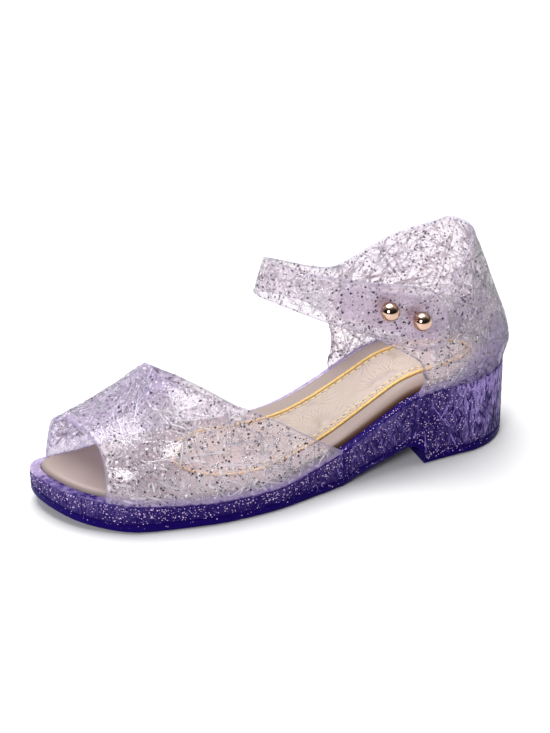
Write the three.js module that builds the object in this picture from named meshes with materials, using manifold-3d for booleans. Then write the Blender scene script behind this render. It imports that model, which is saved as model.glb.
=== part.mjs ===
// A child's moulded jelly sandal for the left foot: wedge outsole with heel, open-toed upper with a high
// counter and an ankle strap, padded footbed with a trimmed panel, and two ball studs that close the strap.
// Millimetres. +X runs from heel to toe, +Y to the outer side of the foot, +Z up.
import * as THREE from "three";
import { mergeVertices } from "three/addons/utils/BufferGeometryUtils.js";
import Module from "manifold-3d";

const wasm = await Module();
wasm.setup();

// Driving sizes
const sandalLength = 188.5; // back of the counter's bulge to the toe
const heelBack = 2.2; // back of the counter's bulge to the back of the sole
const ballBreadth = 64;
const heelLift = 27.5; // floor to the top of the outsole at the heel seat
const foreThickness = 6.2; // outsole under the ball
const toeSpring = 5;
const heelLength = 44; // heel back to heel breast
const archRise = 7.4;
const archLength = 35; // heel breast to where the shank meets the floor
const wall = 2; // moulded wall of the upper
const gap = 0.3; // between neighbouring pieces
const instepHeight = 38.6; // crown of the vamp over the outsole, at the throat's peak
const counterHeight = 56.8; // top of the counter over the heel seat
const counterLean = 15.8; // how far the counter's top leans over the heel seat
const ankleBreadth = 48;
const strapReach = 102; // heel back to the strap's front bend, at the strap's lower edge
const strapRake = 0.32; // how far the bend leans back for each millimetre of height
const strapEdgeHeight = 71; // floor to the strap's lower edge at the bend
const upperFoot = 0.5; // sole edge to the foot of the upper's wall, inside its rim
const rimSetback = 0.3; // sole edge to the rim of the upper
const rimBreadth = 4; // foot of the upper, where it is fused to the outsole
const rimHeight = 2.7;
const rimBevel = 0.5;
const wallSunk = 2.1; // rim's top to the foot of the walls that grow out of it
const padThickness = 4.5;
const panelThickness = 1.2;
const panelMargin = 14.6; // sole edge to panel edge
const panelSunk = 0.85; // how deep the panel lies in the pad's recess
const panelBevel = 0.8; // how far in the panel's rounded edge starts
const panelBevelHeight = 0.48;
const pipingDiameter = 1.5;
const studBall = 7.2;
const studFlat = 0.12; // share of the ball cut off where it sits on the strap
const studNeck = 3;
const studBase = 5.6;
const studBaseThickness = 1;

// Mesh fineness
const soleSteps = 76;
const panelSteps = 56;
const pipingSides = 6;
const vampTurns = 26;
const vampRows = 14;
const collarSteps = 2; // between two rows of the collar table
const collarRows = 7;
const ballSegments = 14;
const breastStep = 1.5; // between the two rows of points at the heel breast
const leastStep = 0.35; // share of an even step that a point keeps from such a row

// Sole outline: shares of sandalLength, and of ballBreadth for the middle line and the breadth
const soleOutline = [
  { at: 0.0, centre: 0.0, breadth: 0.746 },
  { at: 0.14, centre: 0.004, breadth: 0.752 },
  { at: 0.24, centre: 0.014, breadth: 0.774 },
  { at: 0.36, centre: 0.041, breadth: 0.797 },
  { at: 0.47, centre: 0.07, breadth: 0.844 },
  { at: 0.57, centre: 0.078, breadth: 0.944 },
  { at: 0.67, centre: 0.063, breadth: 1.0 },
  { at: 0.76, centre: 0.077, breadth: 0.905 },
  { at: 0.85, centre: 0.075, breadth: 0.813 },
  { at: 0.93, centre: 0.03, breadth: 0.744 },
  { at: 1.0, centre: -0.079, breadth: 0.781 },
];
const heelRound = 0.13; // share of sandalLength taken by the rounded heel
const toeRound = 0.19;
const coveInset = 2; // how far the shank's side curves in under the sole

// Sole profile: lift is the share of the heel's height, topSpring and underSpring of toeSpring, and cove of
// coveInset
const soleProfile = [
  { at: 0.0, lift: 1.0, topSpring: 0, underSpring: 0, cove: 0 },
  { at: 0.212, lift: 1.0, topSpring: 0, underSpring: 0, cove: 0 },
  { at: 0.2335, lift: 0.975, topSpring: 0, underSpring: 0, cove: 0 },
  { at: 0.241, lift: 0.962, topSpring: 0, underSpring: 0, cove: 1 },
  { at: 0.265, lift: 0.91, topSpring: 0, underSpring: 0, cove: 1 },
  { at: 0.3185, lift: 0.7, topSpring: 0, underSpring: 0, cove: 1 },
  { at: 0.371, lift: 0.48, topSpring: 0, underSpring: 0, cove: 0.9 },
  { at: 0.4244, lift: 0.285, topSpring: 0, underSpring: 0, cove: 0.55 },
  { at: 0.478, lift: 0.135, topSpring: 0, underSpring: 0, cove: 0.1 },
  { at: 0.53, lift: 0.045, topSpring: 0, underSpring: 0, cove: 0 },
  { at: 0.585, lift: 0, topSpring: 0, underSpring: 0, cove: 0 },
  { at: 0.7, lift: 0, topSpring: 0.03, underSpring: 0, cove: 0 },
  { at: 0.8, lift: 0, topSpring: 0.26, underSpring: 0, cove: 0 },
  { at: 0.88, lift: 0, topSpring: 0.54, underSpring: 0.08, cove: 0 },
  { at: 0.94, lift: 0, topSpring: 0.78, underSpring: 0.34, cove: 0 },
  { at: 1.0, lift: 0, topSpring: 1.0, underSpring: 0.86, cove: 0 },
];

// Arch under the shank: shares of archLength and archRise
const archProfile = [
  { along: 0.03, rise: 0.75 },
  { along: 0.09, rise: 0.95 },
  { along: 0.16, rise: 1.0 },
  { along: 0.25, rise: 0.95 },
  { along: 0.46, rise: 0.68 },
  { along: 0.63, rise: 0.46 },
  { along: 0.78, rise: 0.27 },
  { along: 0.9, rise: 0.12 },
  { along: 1.0, rise: 0.0 },
];

// Side of the outsole, from the floor up: inset from the sole edge, share of the cove, and height over the
// underside, between underside and top, or under the top
const outsoleSide = [
  { inset: 1.5, cove: 1, overFloor: 0 },
  { inset: 0.5, cove: 1, overFloor: 0.4 },
  { inset: 0.2, cove: 1, overFloor: 1.4 },
  { inset: 0.25, cove: 0, between: 0.5 },
  { inset: 0.3, cove: 0, underTop: 3.3 },
  { inset: 1.1, cove: 0, underTop: 2.9 },
  { inset: 1.1, cove: 0, underTop: 2.5 },
  { inset: 0.0, cove: 0, underTop: 2.1 },
  { inset: 0.0, cove: 0, underTop: 0.6 },
  { inset: 0.6, cove: 0, underTop: 0 },
];

// Side of the footbed pad, from its base up: inset from the pad's edge and share of padThickness
const padSide = [
  { inset: 0.5, height: 0 },
  { inset: 0, height: 0.2 },
  { inset: 0, height: 0.55 },
  { inset: 0.7, height: 0.83 },
  { inset: 2.3, height: 0.97 },
  { inset: 4.6, height: 1.0 },
];

// Vamp crown: height over its base as shares of instepHeight, shift to the inner side of the middle line in
// shares of ballBreadth, and how full the section is on the inner side, 2 for an ellipse
const vampCrown = [
  { at: 0.4, height: 1.125, shift: 0.082, fullness: 2.05 },
  { at: 0.51, height: 1.168, shift: 0.086, fullness: 2.05 },
  { at: 0.6, height: 1.157, shift: 0.087, fullness: 2.05 },
  { at: 0.68, height: 1.103, shift: 0.097, fullness: 2.23 },
  { at: 0.74, height: 1.006, shift: 0.13, fullness: 2.71 },
  { at: 0.8, height: 0.791, shift: 0.149, fullness: 3.48 },
  { at: 0.86, height: 0.642, shift: 0.149, fullness: 4.12 },
  { at: 0.91, height: 0.547, shift: 0.121, fullness: 4.3 },
  { at: 0.95, height: 0.472, shift: 0.079, fullness: 4.37 },
];
const outerFullness = 2.25;
const vampBulge = 1;

// Vamp edges round its section, from the outer base (turn 0) over the crown to the inner base (turn 1)
const vampEdges = [
  { turn: 0.0, lip: 0.902, throat: 0.412 },
  { turn: 0.04, lip: 0.901, throat: 0.445 },
  { turn: 0.12, lip: 0.898, throat: 0.506 },
  { turn: 0.19, lip: 0.895, throat: 0.558 },
  { turn: 0.25, lip: 0.893, throat: 0.612 },
  { turn: 0.31, lip: 0.893, throat: 0.666 },
  { turn: 0.38, lip: 0.898, throat: 0.708 },
  { turn: 0.44, lip: 0.905, throat: 0.733 },
  { turn: 0.5, lip: 0.916, throat: 0.743 },
  { turn: 0.56, lip: 0.9255, throat: 0.744 },
  { turn: 0.62, lip: 0.935, throat: 0.741 },
  { turn: 0.7, lip: 0.941, throat: 0.73 },
  { turn: 0.78, lip: 0.943, throat: 0.697 },
  { turn: 0.84, lip: 0.945, throat: 0.65 },
  { turn: 0.9, lip: 0.948, throat: 0.594 },
  { turn: 0.95, lip: 0.951, throat: 0.551 },
  { turn: 1.0, lip: 0.956, throat: 0.507 },
];

// Ankle form: shares of counterHeight over the heel seat, of counterLean and of ankleBreadth
const ankleForm = [
  { up: 0.0, lean: 0.06, breadth: 1.02 },
  { up: 0.09, lean: -0.03, breadth: 1.05 },
  { up: 0.18, lean: -0.05, breadth: 1.06 },
  { up: 0.3, lean: 0.03, breadth: 1.04 },
  { up: 0.45, lean: 0.23, breadth: 1.02 },
  { up: 0.6, lean: 0.44, breadth: 1.0 },
  { up: 0.8, lean: 0.71, breadth: 0.97 },
  { up: 1.0, lean: 1.0, breadth: 0.93 },
];
const ankleWidest = 0.36; // share of the ankle's length, from the back, where it is widest
const innerShare = 0.95; // breadth of the ankle's inner half against its outer half
const footBlend = 9; // height over which the counter leaves the sole's outline

// Counter, tab and strap as one band. around counts turns round the ankle, 0 and 1 at the front bend, 0.5 at
// the heel back. bottom and top are shares of counterHeight over the heel seat, and null stands on the rim.
const collarBand = [
  { around: 0.155, bottom: 0.674, top: 0.838 },
  { around: 0.17, bottom: 0.579, top: 0.858 },
  { around: 0.19, bottom: 0.509, top: 0.835 },
  { around: 0.21, bottom: 0.42, top: 0.799 },
  { around: 0.228, bottom: 0.327, top: 0.764 },
  { around: 0.237, bottom: 0.255, top: 0.75 },
  { around: 0.241, bottom: 0.172, top: 0.745 },
  { around: 0.243, bottom: null, top: 0.743 },
  { around: 0.265, bottom: null, top: 0.743 },
  { around: 0.292, bottom: null, top: 0.77 },
  { around: 0.318, bottom: null, top: 0.827 },
  { around: 0.348, bottom: null, top: 0.896 },
  { around: 0.387, bottom: null, top: 0.955 },
  { around: 0.431, bottom: null, top: 0.99 },
  { around: 0.5, bottom: null, top: 1 },
  { around: 0.57, bottom: null, top: 0.993 },
  { around: 0.63, bottom: null, top: 0.922 },
  { around: 0.675, bottom: null, top: 0.876 },
  { around: 0.72, bottom: null, top: 0.826 },
  { around: 0.757, bottom: null, top: 0.769 },
  { around: 0.785, bottom: null, top: 0.695 },
  { around: 0.7935, bottom: null, top: 0.683 },
  { around: 0.7963, bottom: 0.06, top: 0.68 },
  { around: 0.8005, bottom: 0.18, top: 0.677 },
  { around: 0.806, bottom: 0.275, top: 0.677 },
  { around: 0.815, bottom: 0.36, top: 0.69 },
  { around: 0.836, bottom: 0.471, top: 0.736 },
  { around: 0.86, bottom: 0.551, top: 0.795 },
  { around: 0.89, bottom: 0.625, top: 0.861 },
  { around: 0.928, bottom: 0.696, top: 0.931 },
  { around: 0.97, bottom: 0.742, top: 0.984 },
  { around: 1.01, bottom: 0.763, top: 1.004 },
  { around: 1.045, bottom: 0.763, top: 1.003 },
  { around: 1.085, bottom: 0.738, top: 0.985 },
  { around: 1.12, bottom: 0.688, top: 0.965 },
  { around: 1.15, bottom: 0.627, top: 0.942 },
  { around: 1.177, bottom: 0.56, top: 0.911 },
  { around: 1.2, bottom: 0.487, top: 0.885 },
  { around: 1.222, bottom: 0.422, top: 0.854 },
  { around: 1.242, bottom: 0.37, top: 0.818 },
  { around: 1.26, bottom: 0.378, top: 0.766 },
  { around: 1.271, bottom: 0.445, top: 0.693 },
  { around: 1.276, bottom: 0.528, top: 0.61 },
];
const overlapFrom = 1.0; // where the strap starts to leave the ankle form, in turns
const overlapFull = 1.14; // where it lies fully over the tab

// Ball studs, on the tab and strap
const studPlaces = [
  { name: "stud_front", around: 0.2035, up: 0.716 },
  { name: "stud_rear", around: 0.2345, up: 0.616 },
];

// Panel on the footbed: shares of sandalLength
const panelBack = 0.085;
const panelFront = 0.72;
const panelRound = 0.12;

const lerp = THREE.MathUtils.lerp;
const smooth = (x, from, to) => THREE.MathUtils.smoothstep(x, from, to);

// A table's column at a place in its key column, as a monotone cubic
function along(table, key, column, place) {
  const last = table.length - 1;
  const p = THREE.MathUtils.clamp(place, table[0][key], table[last][key]);
  let i = 0;
  while (i < last - 1 && p > table[i + 1][key]) i++;
  const slope = (k) => (table[k + 1][column] - table[k][column]) / (table[k + 1][key] - table[k][key]);
  const tangent = (k) => {
    if (k === 0 || k === last) return k === 0 ? slope(0) : slope(last - 1);
    const [before, after] = [slope(k - 1), slope(k)];
    return before * after <= 0 ? 0 : (2 * before * after) / (before + after);
  };
  const width = table[i + 1][key] - table[i][key];
  const t = (p - table[i][key]) / width;
  const [a, b] = [table[i][column], table[i + 1][column]];
  return (
    a * (2 * t ** 3 - 3 * t ** 2 + 1) +
    b * (3 * t ** 2 - 2 * t ** 3) +
    width * (tangent(i) * (t ** 3 - 2 * t ** 2 + t) + tangent(i + 1) * (t ** 3 - t ** 2))
  );
}

// Heights of the sole at a distance from the heel back
const profile = (column, x) => along(soleProfile, "at", column, x / sandalLength);
const soleTop = (x) =>
  foreThickness + profile("lift", x) * (heelLift - foreThickness) + profile("topSpring", x) * toeSpring;
const soleUnder = (x) => profile("underSpring", x) * toeSpring;
const rimTop = (x) => soleTop(x) + gap + rimHeight;
const wallBase = (x) => rimTop(x) - wallSunk;
const padTop = (x) => soleTop(x) + gap + padThickness;

// Plan outline that follows the sole between two places, inset from its edge, with rounded ends
function outline({ from = heelBack, to = sandalLength, inset = 0, rounds }) {
  const [backRound, frontRound] = rounds.map((share) => share * sandalLength);
  const half = (x, side) => {
    const centre = along(soleOutline, "at", "centre", x / sandalLength) * ballBreadth;
    const breadth = along(soleOutline, "at", "breadth", x / sandalLength) * ballBreadth;
    const back = Math.min(1, (x - from) / backRound);
    const front = Math.min(1, (to - x) / frontRound);
    const round = Math.sqrt(Math.max(0, back * (2 - back))) * Math.sqrt(Math.max(0, front * (2 - front)));
    return centre + side * (breadth / 2 - inset) * round;
  };
  // A point at an angle round the outline, 0 at the back and pi at the front, moved outward
  const at = (angle, outward = 0) => {
    const place = (a) => {
      const x = lerp(from, to, (1 - Math.cos(a)) / 2);
      return [x, half(x, Math.sin(a) >= 0 ? 1 : -1)];
    };
    const step = 1e-3;
    const [x, y] = place(angle);
    const [before, after] = [place(angle - step), place(angle + step)];
    const [dx, dy] = [after[0] - before[0], after[1] - before[1]];
    const size = Math.hypot(dx, dy);
    return [x - (dy / size) * outward, y + (dx / size) * outward];
  };
  return { half, at };
}
const soleLoop = outline({ rounds: [heelRound, toeRound] });
const wallLoop = outline({
  from: heelBack + upperFoot,
  to: sandalLength - upperFoot,
  inset: upperFoot,
  rounds: [heelRound, toeRound],
});
const panelLoop = outline({
  from: panelBack * sandalLength,
  to: panelFront * sandalLength,
  inset: panelMargin,
  rounds: [panelRound, panelRound],
});

// Mesh helpers
function solidOf(vertices, triangles) {
  const geometry = new THREE.BufferGeometry();
  geometry.setAttribute("position", new THREE.Float32BufferAttribute(vertices.flat(), 3));
  geometry.setIndex(triangles.flat());
  return solidOfGeometry(geometry);
}
function solidOfGeometry(source) {
  const bare = source.clone();
  bare.deleteAttribute("normal");
  bare.deleteAttribute("uv");
  const merged = mergeVertices(bare, 1e-4);
  const vertProperties = new Float32Array(merged.attributes.position.array);
  const triVerts = new Uint32Array(merged.index.array);
  return new wasm.Manifold(new wasm.Mesh({ numProp: 3, vertProperties, triVerts }));
}
function geometryOf(solid) {
  const mesh = solid.getMesh();
  const geometry = new THREE.BufferGeometry();
  geometry.setAttribute("position", new THREE.BufferAttribute(new Float32Array(mesh.vertProperties), 3));
  geometry.setIndex(new THREE.BufferAttribute(new Uint32Array(mesh.triVerts), 1));
  const flat = geometry.toNonIndexed();
  flat.computeVertexNormals();
  return flat;
}
const quad = (a, b, c, d) => [a, b, c, a, c, d];
// Angles round an outline, even, with further stations at given distances from the heel back on both sides
function angles(steps, stations = []) {
  const cut = stations.map((x) => Math.acos(1 - (2 * (x - heelBack)) / (sandalLength - heelBack)));
  const even = Array.from({ length: steps / 2 + 1 }, (_, i) => (2 * Math.PI * i) / steps);
  const near = (leastStep * 2 * Math.PI) / steps;
  const kept = even.filter((angle) => cut.every((other) => Math.abs(other - angle) > near));
  const half = [...kept, ...cut].sort((p, q) => p - q);
  return [...half, ...half.slice(1, -1).reverse().map((angle) => 2 * Math.PI - angle)];
}
const soleAngles = angles(soleSteps, [heelLength, heelLength + breastStep]);
const panelAngles = angles(panelSteps);

// Points of each row round a loop; outward is a distance or a function of the place along the foot
function rowPoints(loop, rows, turns) {
  return rows.flatMap(({ outward, height }) =>
    turns.map((angle) => {
      const move = typeof outward === "function" ? outward(loop.at(angle)[0]) : outward;
      const [x, y] = loop.at(angle, move);
      return [x, y, height(x)];
    }),
  );
}

// Loops stacked into a solid: rows of { outward, height }, each loop's ends closed by strips across the sole
function stack(loop, rows, turns) {
  const triangles = [];
  const steps = turns.length;
  const vertices = rowPoints(loop, rows, turns);
  const id = (row, j) => row * steps + (j % steps);
  for (let row = 0; row + 1 < rows.length; row++)
    for (let j = 0; j < steps; j++)
      triangles.push(quad(id(row, j), id(row + 1, j), id(row + 1, j + 1), id(row, j + 1)));
  const cap = (row, upward) => {
    for (let j = 0; j < steps / 2; j++) {
      const corners = [id(row, j), id(row, j + 1), id(row, steps - j - 1), id(row, steps - j)];
      const faces = quad(...(upward ? corners.reverse() : corners));
      for (let k = 0; k < 6; k += 3) {
        const face = faces.slice(k, k + 3);
        if (new Set(face).size === 3) triangles.push(face);
      }
    }
  };
  cap(0, false);
  cap(rows.length - 1, true);
  return solidOf(vertices, triangles);
}

// A closed section carried round a loop: rows of { outward, height }
function ring(loop, rows, turns) {
  const triangles = [];
  const steps = turns.length;
  const vertices = rowPoints(loop, rows, turns);
  const id = (row, j) => (row % rows.length) * steps + (j % steps);
  for (let row = 0; row < rows.length; row++)
    for (let j = 0; j < steps; j++)
      triangles.push(quad(id(row, j), id(row + 1, j), id(row + 1, j + 1), id(row, j + 1)));
  return solidOf(vertices, triangles);
}

// A wall between a surface(u, v) and the same surface moved inward, on a grid of given u and v values
function sheet(surface, us, vs, thickness) {
  const vertices = [];
  const triangles = [];
  for (const inward of [0, thickness])
    for (const u of us) for (const v of vs) vertices.push(offsetPoint(surface, u, v, -inward).toArray());
  const id = (layer, i, j) => (layer * us.length + i) * vs.length + j;
  const [lastU, lastV] = [us.length - 1, vs.length - 1];
  for (let i = 0; i < lastU; i++)
    for (let j = 0; j < lastV; j++) {
      triangles.push(quad(id(0, i, j), id(0, i + 1, j), id(0, i + 1, j + 1), id(0, i, j + 1)));
      triangles.push(quad(id(1, i, j), id(1, i, j + 1), id(1, i + 1, j + 1), id(1, i + 1, j)));
    }
  for (let i = 0; i < lastU; i++) {
    triangles.push(quad(id(0, i, 0), id(1, i, 0), id(1, i + 1, 0), id(0, i + 1, 0)));
    triangles.push(quad(id(0, i, lastV), id(0, i + 1, lastV), id(1, i + 1, lastV), id(1, i, lastV)));
  }
  for (let j = 0; j < lastV; j++) {
    triangles.push(quad(id(0, 0, j), id(0, 0, j + 1), id(1, 0, j + 1), id(1, 0, j)));
    triangles.push(quad(id(0, lastU, j), id(1, lastU, j), id(1, lastU, j + 1), id(0, lastU, j + 1)));
  }
  return solidOf(vertices, triangles);
}
function normalAt(surface, u, v) {
  const step = 1e-3;
  const du = surface(u + step, v).sub(surface(u - step, v));
  const dv = surface(u, v + step).sub(surface(u, v - step));
  return du.cross(dv).normalize();
}
function offsetPoint(surface, u, v, outward) {
  return surface(u, v).addScaledVector(normalAt(surface, u, v), outward);
}
const spread = (count) => Array.from({ length: count + 1 }, (_, i) => i / count);

// Vamp: turn goes round the section and share from the throat to the toe lip
function vampPoint(turn, share) {
  const at = lerp(along(vampEdges, "turn", "throat", turn), along(vampEdges, "turn", "lip", turn), share);
  const x = at * sandalLength;
  const centre = (along(soleOutline, "at", "centre", at) - along(vampCrown, "at", "shift", at)) * ballBreadth;
  const angle = THREE.MathUtils.clamp(turn, 0, 1) * Math.PI;
  const side = Math.cos(angle) >= 0 ? 1 : -1;
  const reach = Math.abs(wallLoop.half(x, side) - centre);
  const power = 2 / (side > 0 ? outerFullness : along(vampCrown, "at", "fullness", at));
  const across = Math.abs(Math.cos(angle)) ** power * reach + vampBulge * Math.abs(Math.sin(2 * angle));
  const rise = Math.sin(angle) ** power * along(vampCrown, "at", "height", at) * instepHeight;
  return new THREE.Vector3(x, centre + side * across, wallBase(x) + rise);
}

// Ankle form: around in turns, height over the floor, and how many layers of wall lie inside
function anklePoint(around, height) {
  const angle = 2 * Math.PI * around;
  const [c, s] = [Math.cos(angle), Math.sin(angle)];
  const reachOf = (z) => {
    const back = along(ankleForm, "up", "lean", (z - heelLift) / counterHeight) * counterLean;
    const front = strapReach + (strapEdgeHeight - z) * strapRake;
    const share = ankleWidest + (c > 0 ? 1 - ankleWidest : ankleWidest) * c;
    return lerp(back, front, share);
  };
  let foot = heelLift;
  for (let i = 0; i < 8; i++) foot = wallBase(reachOf(foot));
  const side = s >= 0 ? 1 : -1;
  const footX = Math.max(reachOf(foot), heelBack + upperFoot);
  const breadth = along(ankleForm, "up", "breadth", (height - heelLift) / counterHeight) * ankleBreadth;
  const blend = smooth(height, foot, foot + footBlend);
  const x = lerp(footX, reachOf(height), blend);
  const y = lerp(wallLoop.half(footX, side), (s * breadth * (side > 0 ? 1 : innerShare)) / 2, blend);
  return { point: new THREE.Vector3(x, y, height), foot };
}
// Band of counter, tab and strap: around in turns and share from its lower to its upper edge
function collarPoint(around, share) {
  const { foot } = anklePoint(around, heelLift);
  const edge = (column) => {
    const rows = collarBand.map((row) => ({
      around: row.around,
      height: row[column] === null ? foot : heelLift + row[column] * counterHeight,
    }));
    return along(rows, "around", "height", around);
  };
  const height = lerp(edge("bottom"), edge("top"), share);
  const bare = (a, z) => anklePoint(a, z).point;
  const layer = smooth(around, overlapFrom, overlapFull) * (wall + gap);
  return offsetPoint(bare, around, height, layer);
}

function makeOutsole() {
  const heightOf = ({ overFloor, between, underTop }) => {
    if (overFloor !== undefined) return (x) => soleUnder(x) + overFloor;
    if (between !== undefined) return (x) => lerp(soleUnder(x), soleTop(x), between);
    return (x) => soleTop(x) - underTop;
  };
  const rows = outsoleSide.map((row) => ({
    outward: (x) => -row.inset - row.cove * coveInset * profile("cove", x),
    height: heightOf(row),
  }));
  const block = stack(soleLoop, rows, soleAngles);
  const below = -5;
  const arch = new THREE.Shape();
  arch.moveTo(heelLength, below);
  arch.lineTo(heelLength, 0);
  archProfile.forEach(({ along: share, rise }) => {
    arch.lineTo(heelLength + share * archLength, rise * archRise);
  });
  arch.lineTo(heelLength + archLength, below);
  const cutter = new THREE.ExtrudeGeometry(arch, { depth: 2 * ballBreadth, bevelEnabled: false });
  cutter.rotateX(Math.PI / 2).translate(0, ballBreadth, 0);
  return block.subtract(solidOfGeometry(cutter));
}

function makeUpper() {
  const rimRows = [
    { outward: -rimSetback, height: (x) => soleTop(x) + gap },
    { outward: -rimSetback, height: (x) => rimTop(x) - rimBevel },
    { outward: -rimSetback - rimBevel, height: rimTop },
    { outward: -rimSetback - rimBreadth, height: rimTop },
    { outward: -rimSetback - rimBreadth, height: (x) => soleTop(x) + gap },
  ];
  const rim = ring(soleLoop, rimRows, soleAngles);
  const vamp = sheet(vampPoint, spread(vampTurns), spread(vampRows), wall);
  const arounds = collarBand.flatMap((row, i) =>
    i + 1 < collarBand.length
      ? spread(collarSteps)
          .slice(0, -1)
          .map((t) => lerp(row.around, collarBand[i + 1].around, t))
      : [row.around],
  );
  const collar = sheet(collarPoint, arounds, spread(collarRows), wall);
  const whole = rim.add(vamp).add(collar);
  const holes = studPlaces.map((place) => placed(holeGeometry(), place));
  return holes.reduce((solid, hole) => solid.subtract(solidOfGeometry(hole)), whole);
}

// Studs stand on the strap along its normal, with their axis through strap and tab
function placed(geometry, { around, up }) {
  const height = heelLift + up * counterHeight;
  const surface = (a, z) => anklePoint(a, z).point;
  const outer = offsetPoint(surface, around, height, wall + gap);
  const axis = normalAt(surface, around, height);
  const turn = new THREE.Quaternion().setFromUnitVectors(new THREE.Vector3(0, 1, 0), axis);
  return geometry.applyQuaternion(turn).translate(outer.x, outer.y, outer.z);
}
function holeGeometry() {
  const depth = 4 * (wall + gap);
  return new THREE.CylinderGeometry(studNeck / 2 + gap, studNeck / 2 + gap, 2 * depth, ballSegments);
}
function studGeometry() {
  const radius = studBall / 2;
  const sunk = studFlat * studBall;
  const inner = -(2 * wall + gap) - gap;
  const first = Math.acos((radius - sunk) / radius);
  const profile = [
    new THREE.Vector2(0, inner - studBaseThickness),
    new THREE.Vector2(studBase / 2, inner - studBaseThickness),
    new THREE.Vector2(studBase / 2, inner),
    new THREE.Vector2(studNeck / 2, inner),
    new THREE.Vector2(studNeck / 2, gap),
  ];
  const arcSteps = ballSegments / 2;
  for (let i = 0; i <= arcSteps; i++) {
    const a = lerp(first, Math.PI, i / arcSteps);
    const r = i === arcSteps ? 0 : radius * Math.sin(a);
    profile.push(new THREE.Vector2(r, gap + radius - sunk - radius * Math.cos(a)));
  }
  return new THREE.LatheGeometry(profile, ballSegments);
}

function makePad() {
  const edge = rimSetback + rimBreadth + gap;
  const rows = padSide.map(({ inset, height }) => ({
    outward: -(edge + inset),
    height: (x) => soleTop(x) + gap + height * padThickness,
  }));
  const pad = stack(soleLoop, rows, soleAngles);
  const recess = [
    { outward: pipingDiameter + 2 * gap, height: (x) => padTop(x) - panelSunk - gap },
    { outward: pipingDiameter + 2 * gap, height: (x) => padTop(x) + padThickness },
  ];
  return pad.subtract(stack(panelLoop, recess, panelAngles));
}
function makePanel() {
  const bottom = (x) => padTop(x) - panelSunk;
  const rows = [
    { outward: 0, height: bottom },
    { outward: 0, height: (x) => bottom(x) + panelThickness - panelBevelHeight },
    { outward: -panelBevel, height: (x) => bottom(x) + panelThickness },
  ];
  return stack(panelLoop, rows, panelAngles);
}
function makePiping() {
  const radius = pipingDiameter / 2;
  const centre = gap + radius;
  const rows = Array.from({ length: pipingSides }, (_, i) => {
    const a = (2 * Math.PI * i) / pipingSides;
    return {
      outward: centre + radius * Math.cos(a),
      height: (x) => padTop(x) - panelSunk + radius + radius * Math.sin(a),
    };
  });
  return ring(panelLoop, rows, panelAngles);
}

const material = (color, roughness, metalness = 0) =>
  new THREE.MeshStandardMaterial({ color, roughness, metalness });
const purpleJelly = material(0x4a2f9e, 0.25);
const clearJelly = material(0xd9cdea, 0.2);
const footbedSkin = material(0xc4ad9f, 0.6);
const printedSkin = material(0xf0e6dc, 0.6);
const goldTrim = material(0xe3b35c, 0.4);
const goldMetal = material(0xc08a63, 0.15, 1);

const sandal = new THREE.Group();
function add(name, geometry, finish) {
  const mesh = new THREE.Mesh(geometry, finish);
  mesh.name = name;
  mesh.position.x = -heelLength / 2; // the origin lies under the middle of the heel
  sandal.add(mesh);
}
add("outsole", geometryOf(makeOutsole()), purpleJelly);
add("upper", geometryOf(makeUpper()), clearJelly);
add("footbed", geometryOf(makePad()), footbedSkin);
add("footbed_panel", geometryOf(makePanel()), printedSkin);
add("panel_piping", geometryOf(makePiping()), goldTrim);
studPlaces.forEach((place) => add(place.name, placed(studGeometry(), place), goldMetal));

export default sandal;
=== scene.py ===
"""Looks of a child's clear jelly sandal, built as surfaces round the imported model."""

import bpy
import numpy as np
from bpy.props import FloatProperty, FloatVectorProperty, IntProperty, PointerProperty
from mathutils import Matrix, Vector


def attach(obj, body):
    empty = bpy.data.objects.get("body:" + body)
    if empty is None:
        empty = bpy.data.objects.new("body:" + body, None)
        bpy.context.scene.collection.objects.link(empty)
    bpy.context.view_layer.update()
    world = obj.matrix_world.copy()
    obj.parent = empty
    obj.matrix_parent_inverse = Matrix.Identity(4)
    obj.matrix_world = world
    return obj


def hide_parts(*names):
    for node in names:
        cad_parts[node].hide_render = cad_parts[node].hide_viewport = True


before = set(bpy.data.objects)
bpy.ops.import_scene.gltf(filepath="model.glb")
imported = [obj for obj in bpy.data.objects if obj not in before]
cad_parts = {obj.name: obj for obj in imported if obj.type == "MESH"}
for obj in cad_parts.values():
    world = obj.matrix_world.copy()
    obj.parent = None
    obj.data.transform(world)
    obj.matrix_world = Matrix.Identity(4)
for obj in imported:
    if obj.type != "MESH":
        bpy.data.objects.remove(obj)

bl_info = {
    "name": "Jelly Sandal",
    "version": (1, 0, 0),
    "blender": (4, 5, 0),
    "location": "3D View > Sidebar > Sandal",
    "description": "Builds a clear glitter jelly sandal piece by piece",
    "category": "Add Mesh",
}

# Sizes of the solids in millimetres, x from the back of the counter's bulge
SANDAL_LENGTH = 188.5
FRAME_ORIGIN = 22.0  # the frame's origin, under the middle of the heel
HEEL_BACK = 2.2
HEEL_LENGTH = 44.0
HEEL_LIFT = 27.5
HEEL_ROUND = 0.13 * SANDAL_LENGTH
TOE_ROUND = 0.19 * SANDAL_LENGTH
BALL_BREADTH = 64.0
FORE_THICKNESS = 6.2
TOE_SPRING = 5.0
ARCH_RISE = 7.4
ARCH_LENGTH = 35.0
COVE_INSET = 2.0
GAP = 0.3  # between neighbouring pieces
WALL = 2.0
WALL_SUNK = 2.1  # how deep a wall stands in the rim
UPPER_FOOT = 0.5  # how far the walls stand in from the sole's outline
INSTEP_HEIGHT = 38.6
VAMP_BULGE = 1.0
COUNTER_HEIGHT = 56.8
COUNTER_LEAN = 15.8
ANKLE_BREADTH = 48.0
FOOT_BLEND = 9.0  # height over which the ankle form leaves the sole's outline
STRAP_REACH = 102.0
STRAP_EDGE_HEIGHT = 71.0
RIM_INSET = 0.3
RIM_BREADTH = 4.0
RIM_HEIGHT = 2.7
PAD_THICKNESS = 4.5
PANEL_THICKNESS = 1.2
PANEL_SUNK = 0.85
PANEL_MARGIN = 14.6
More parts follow.
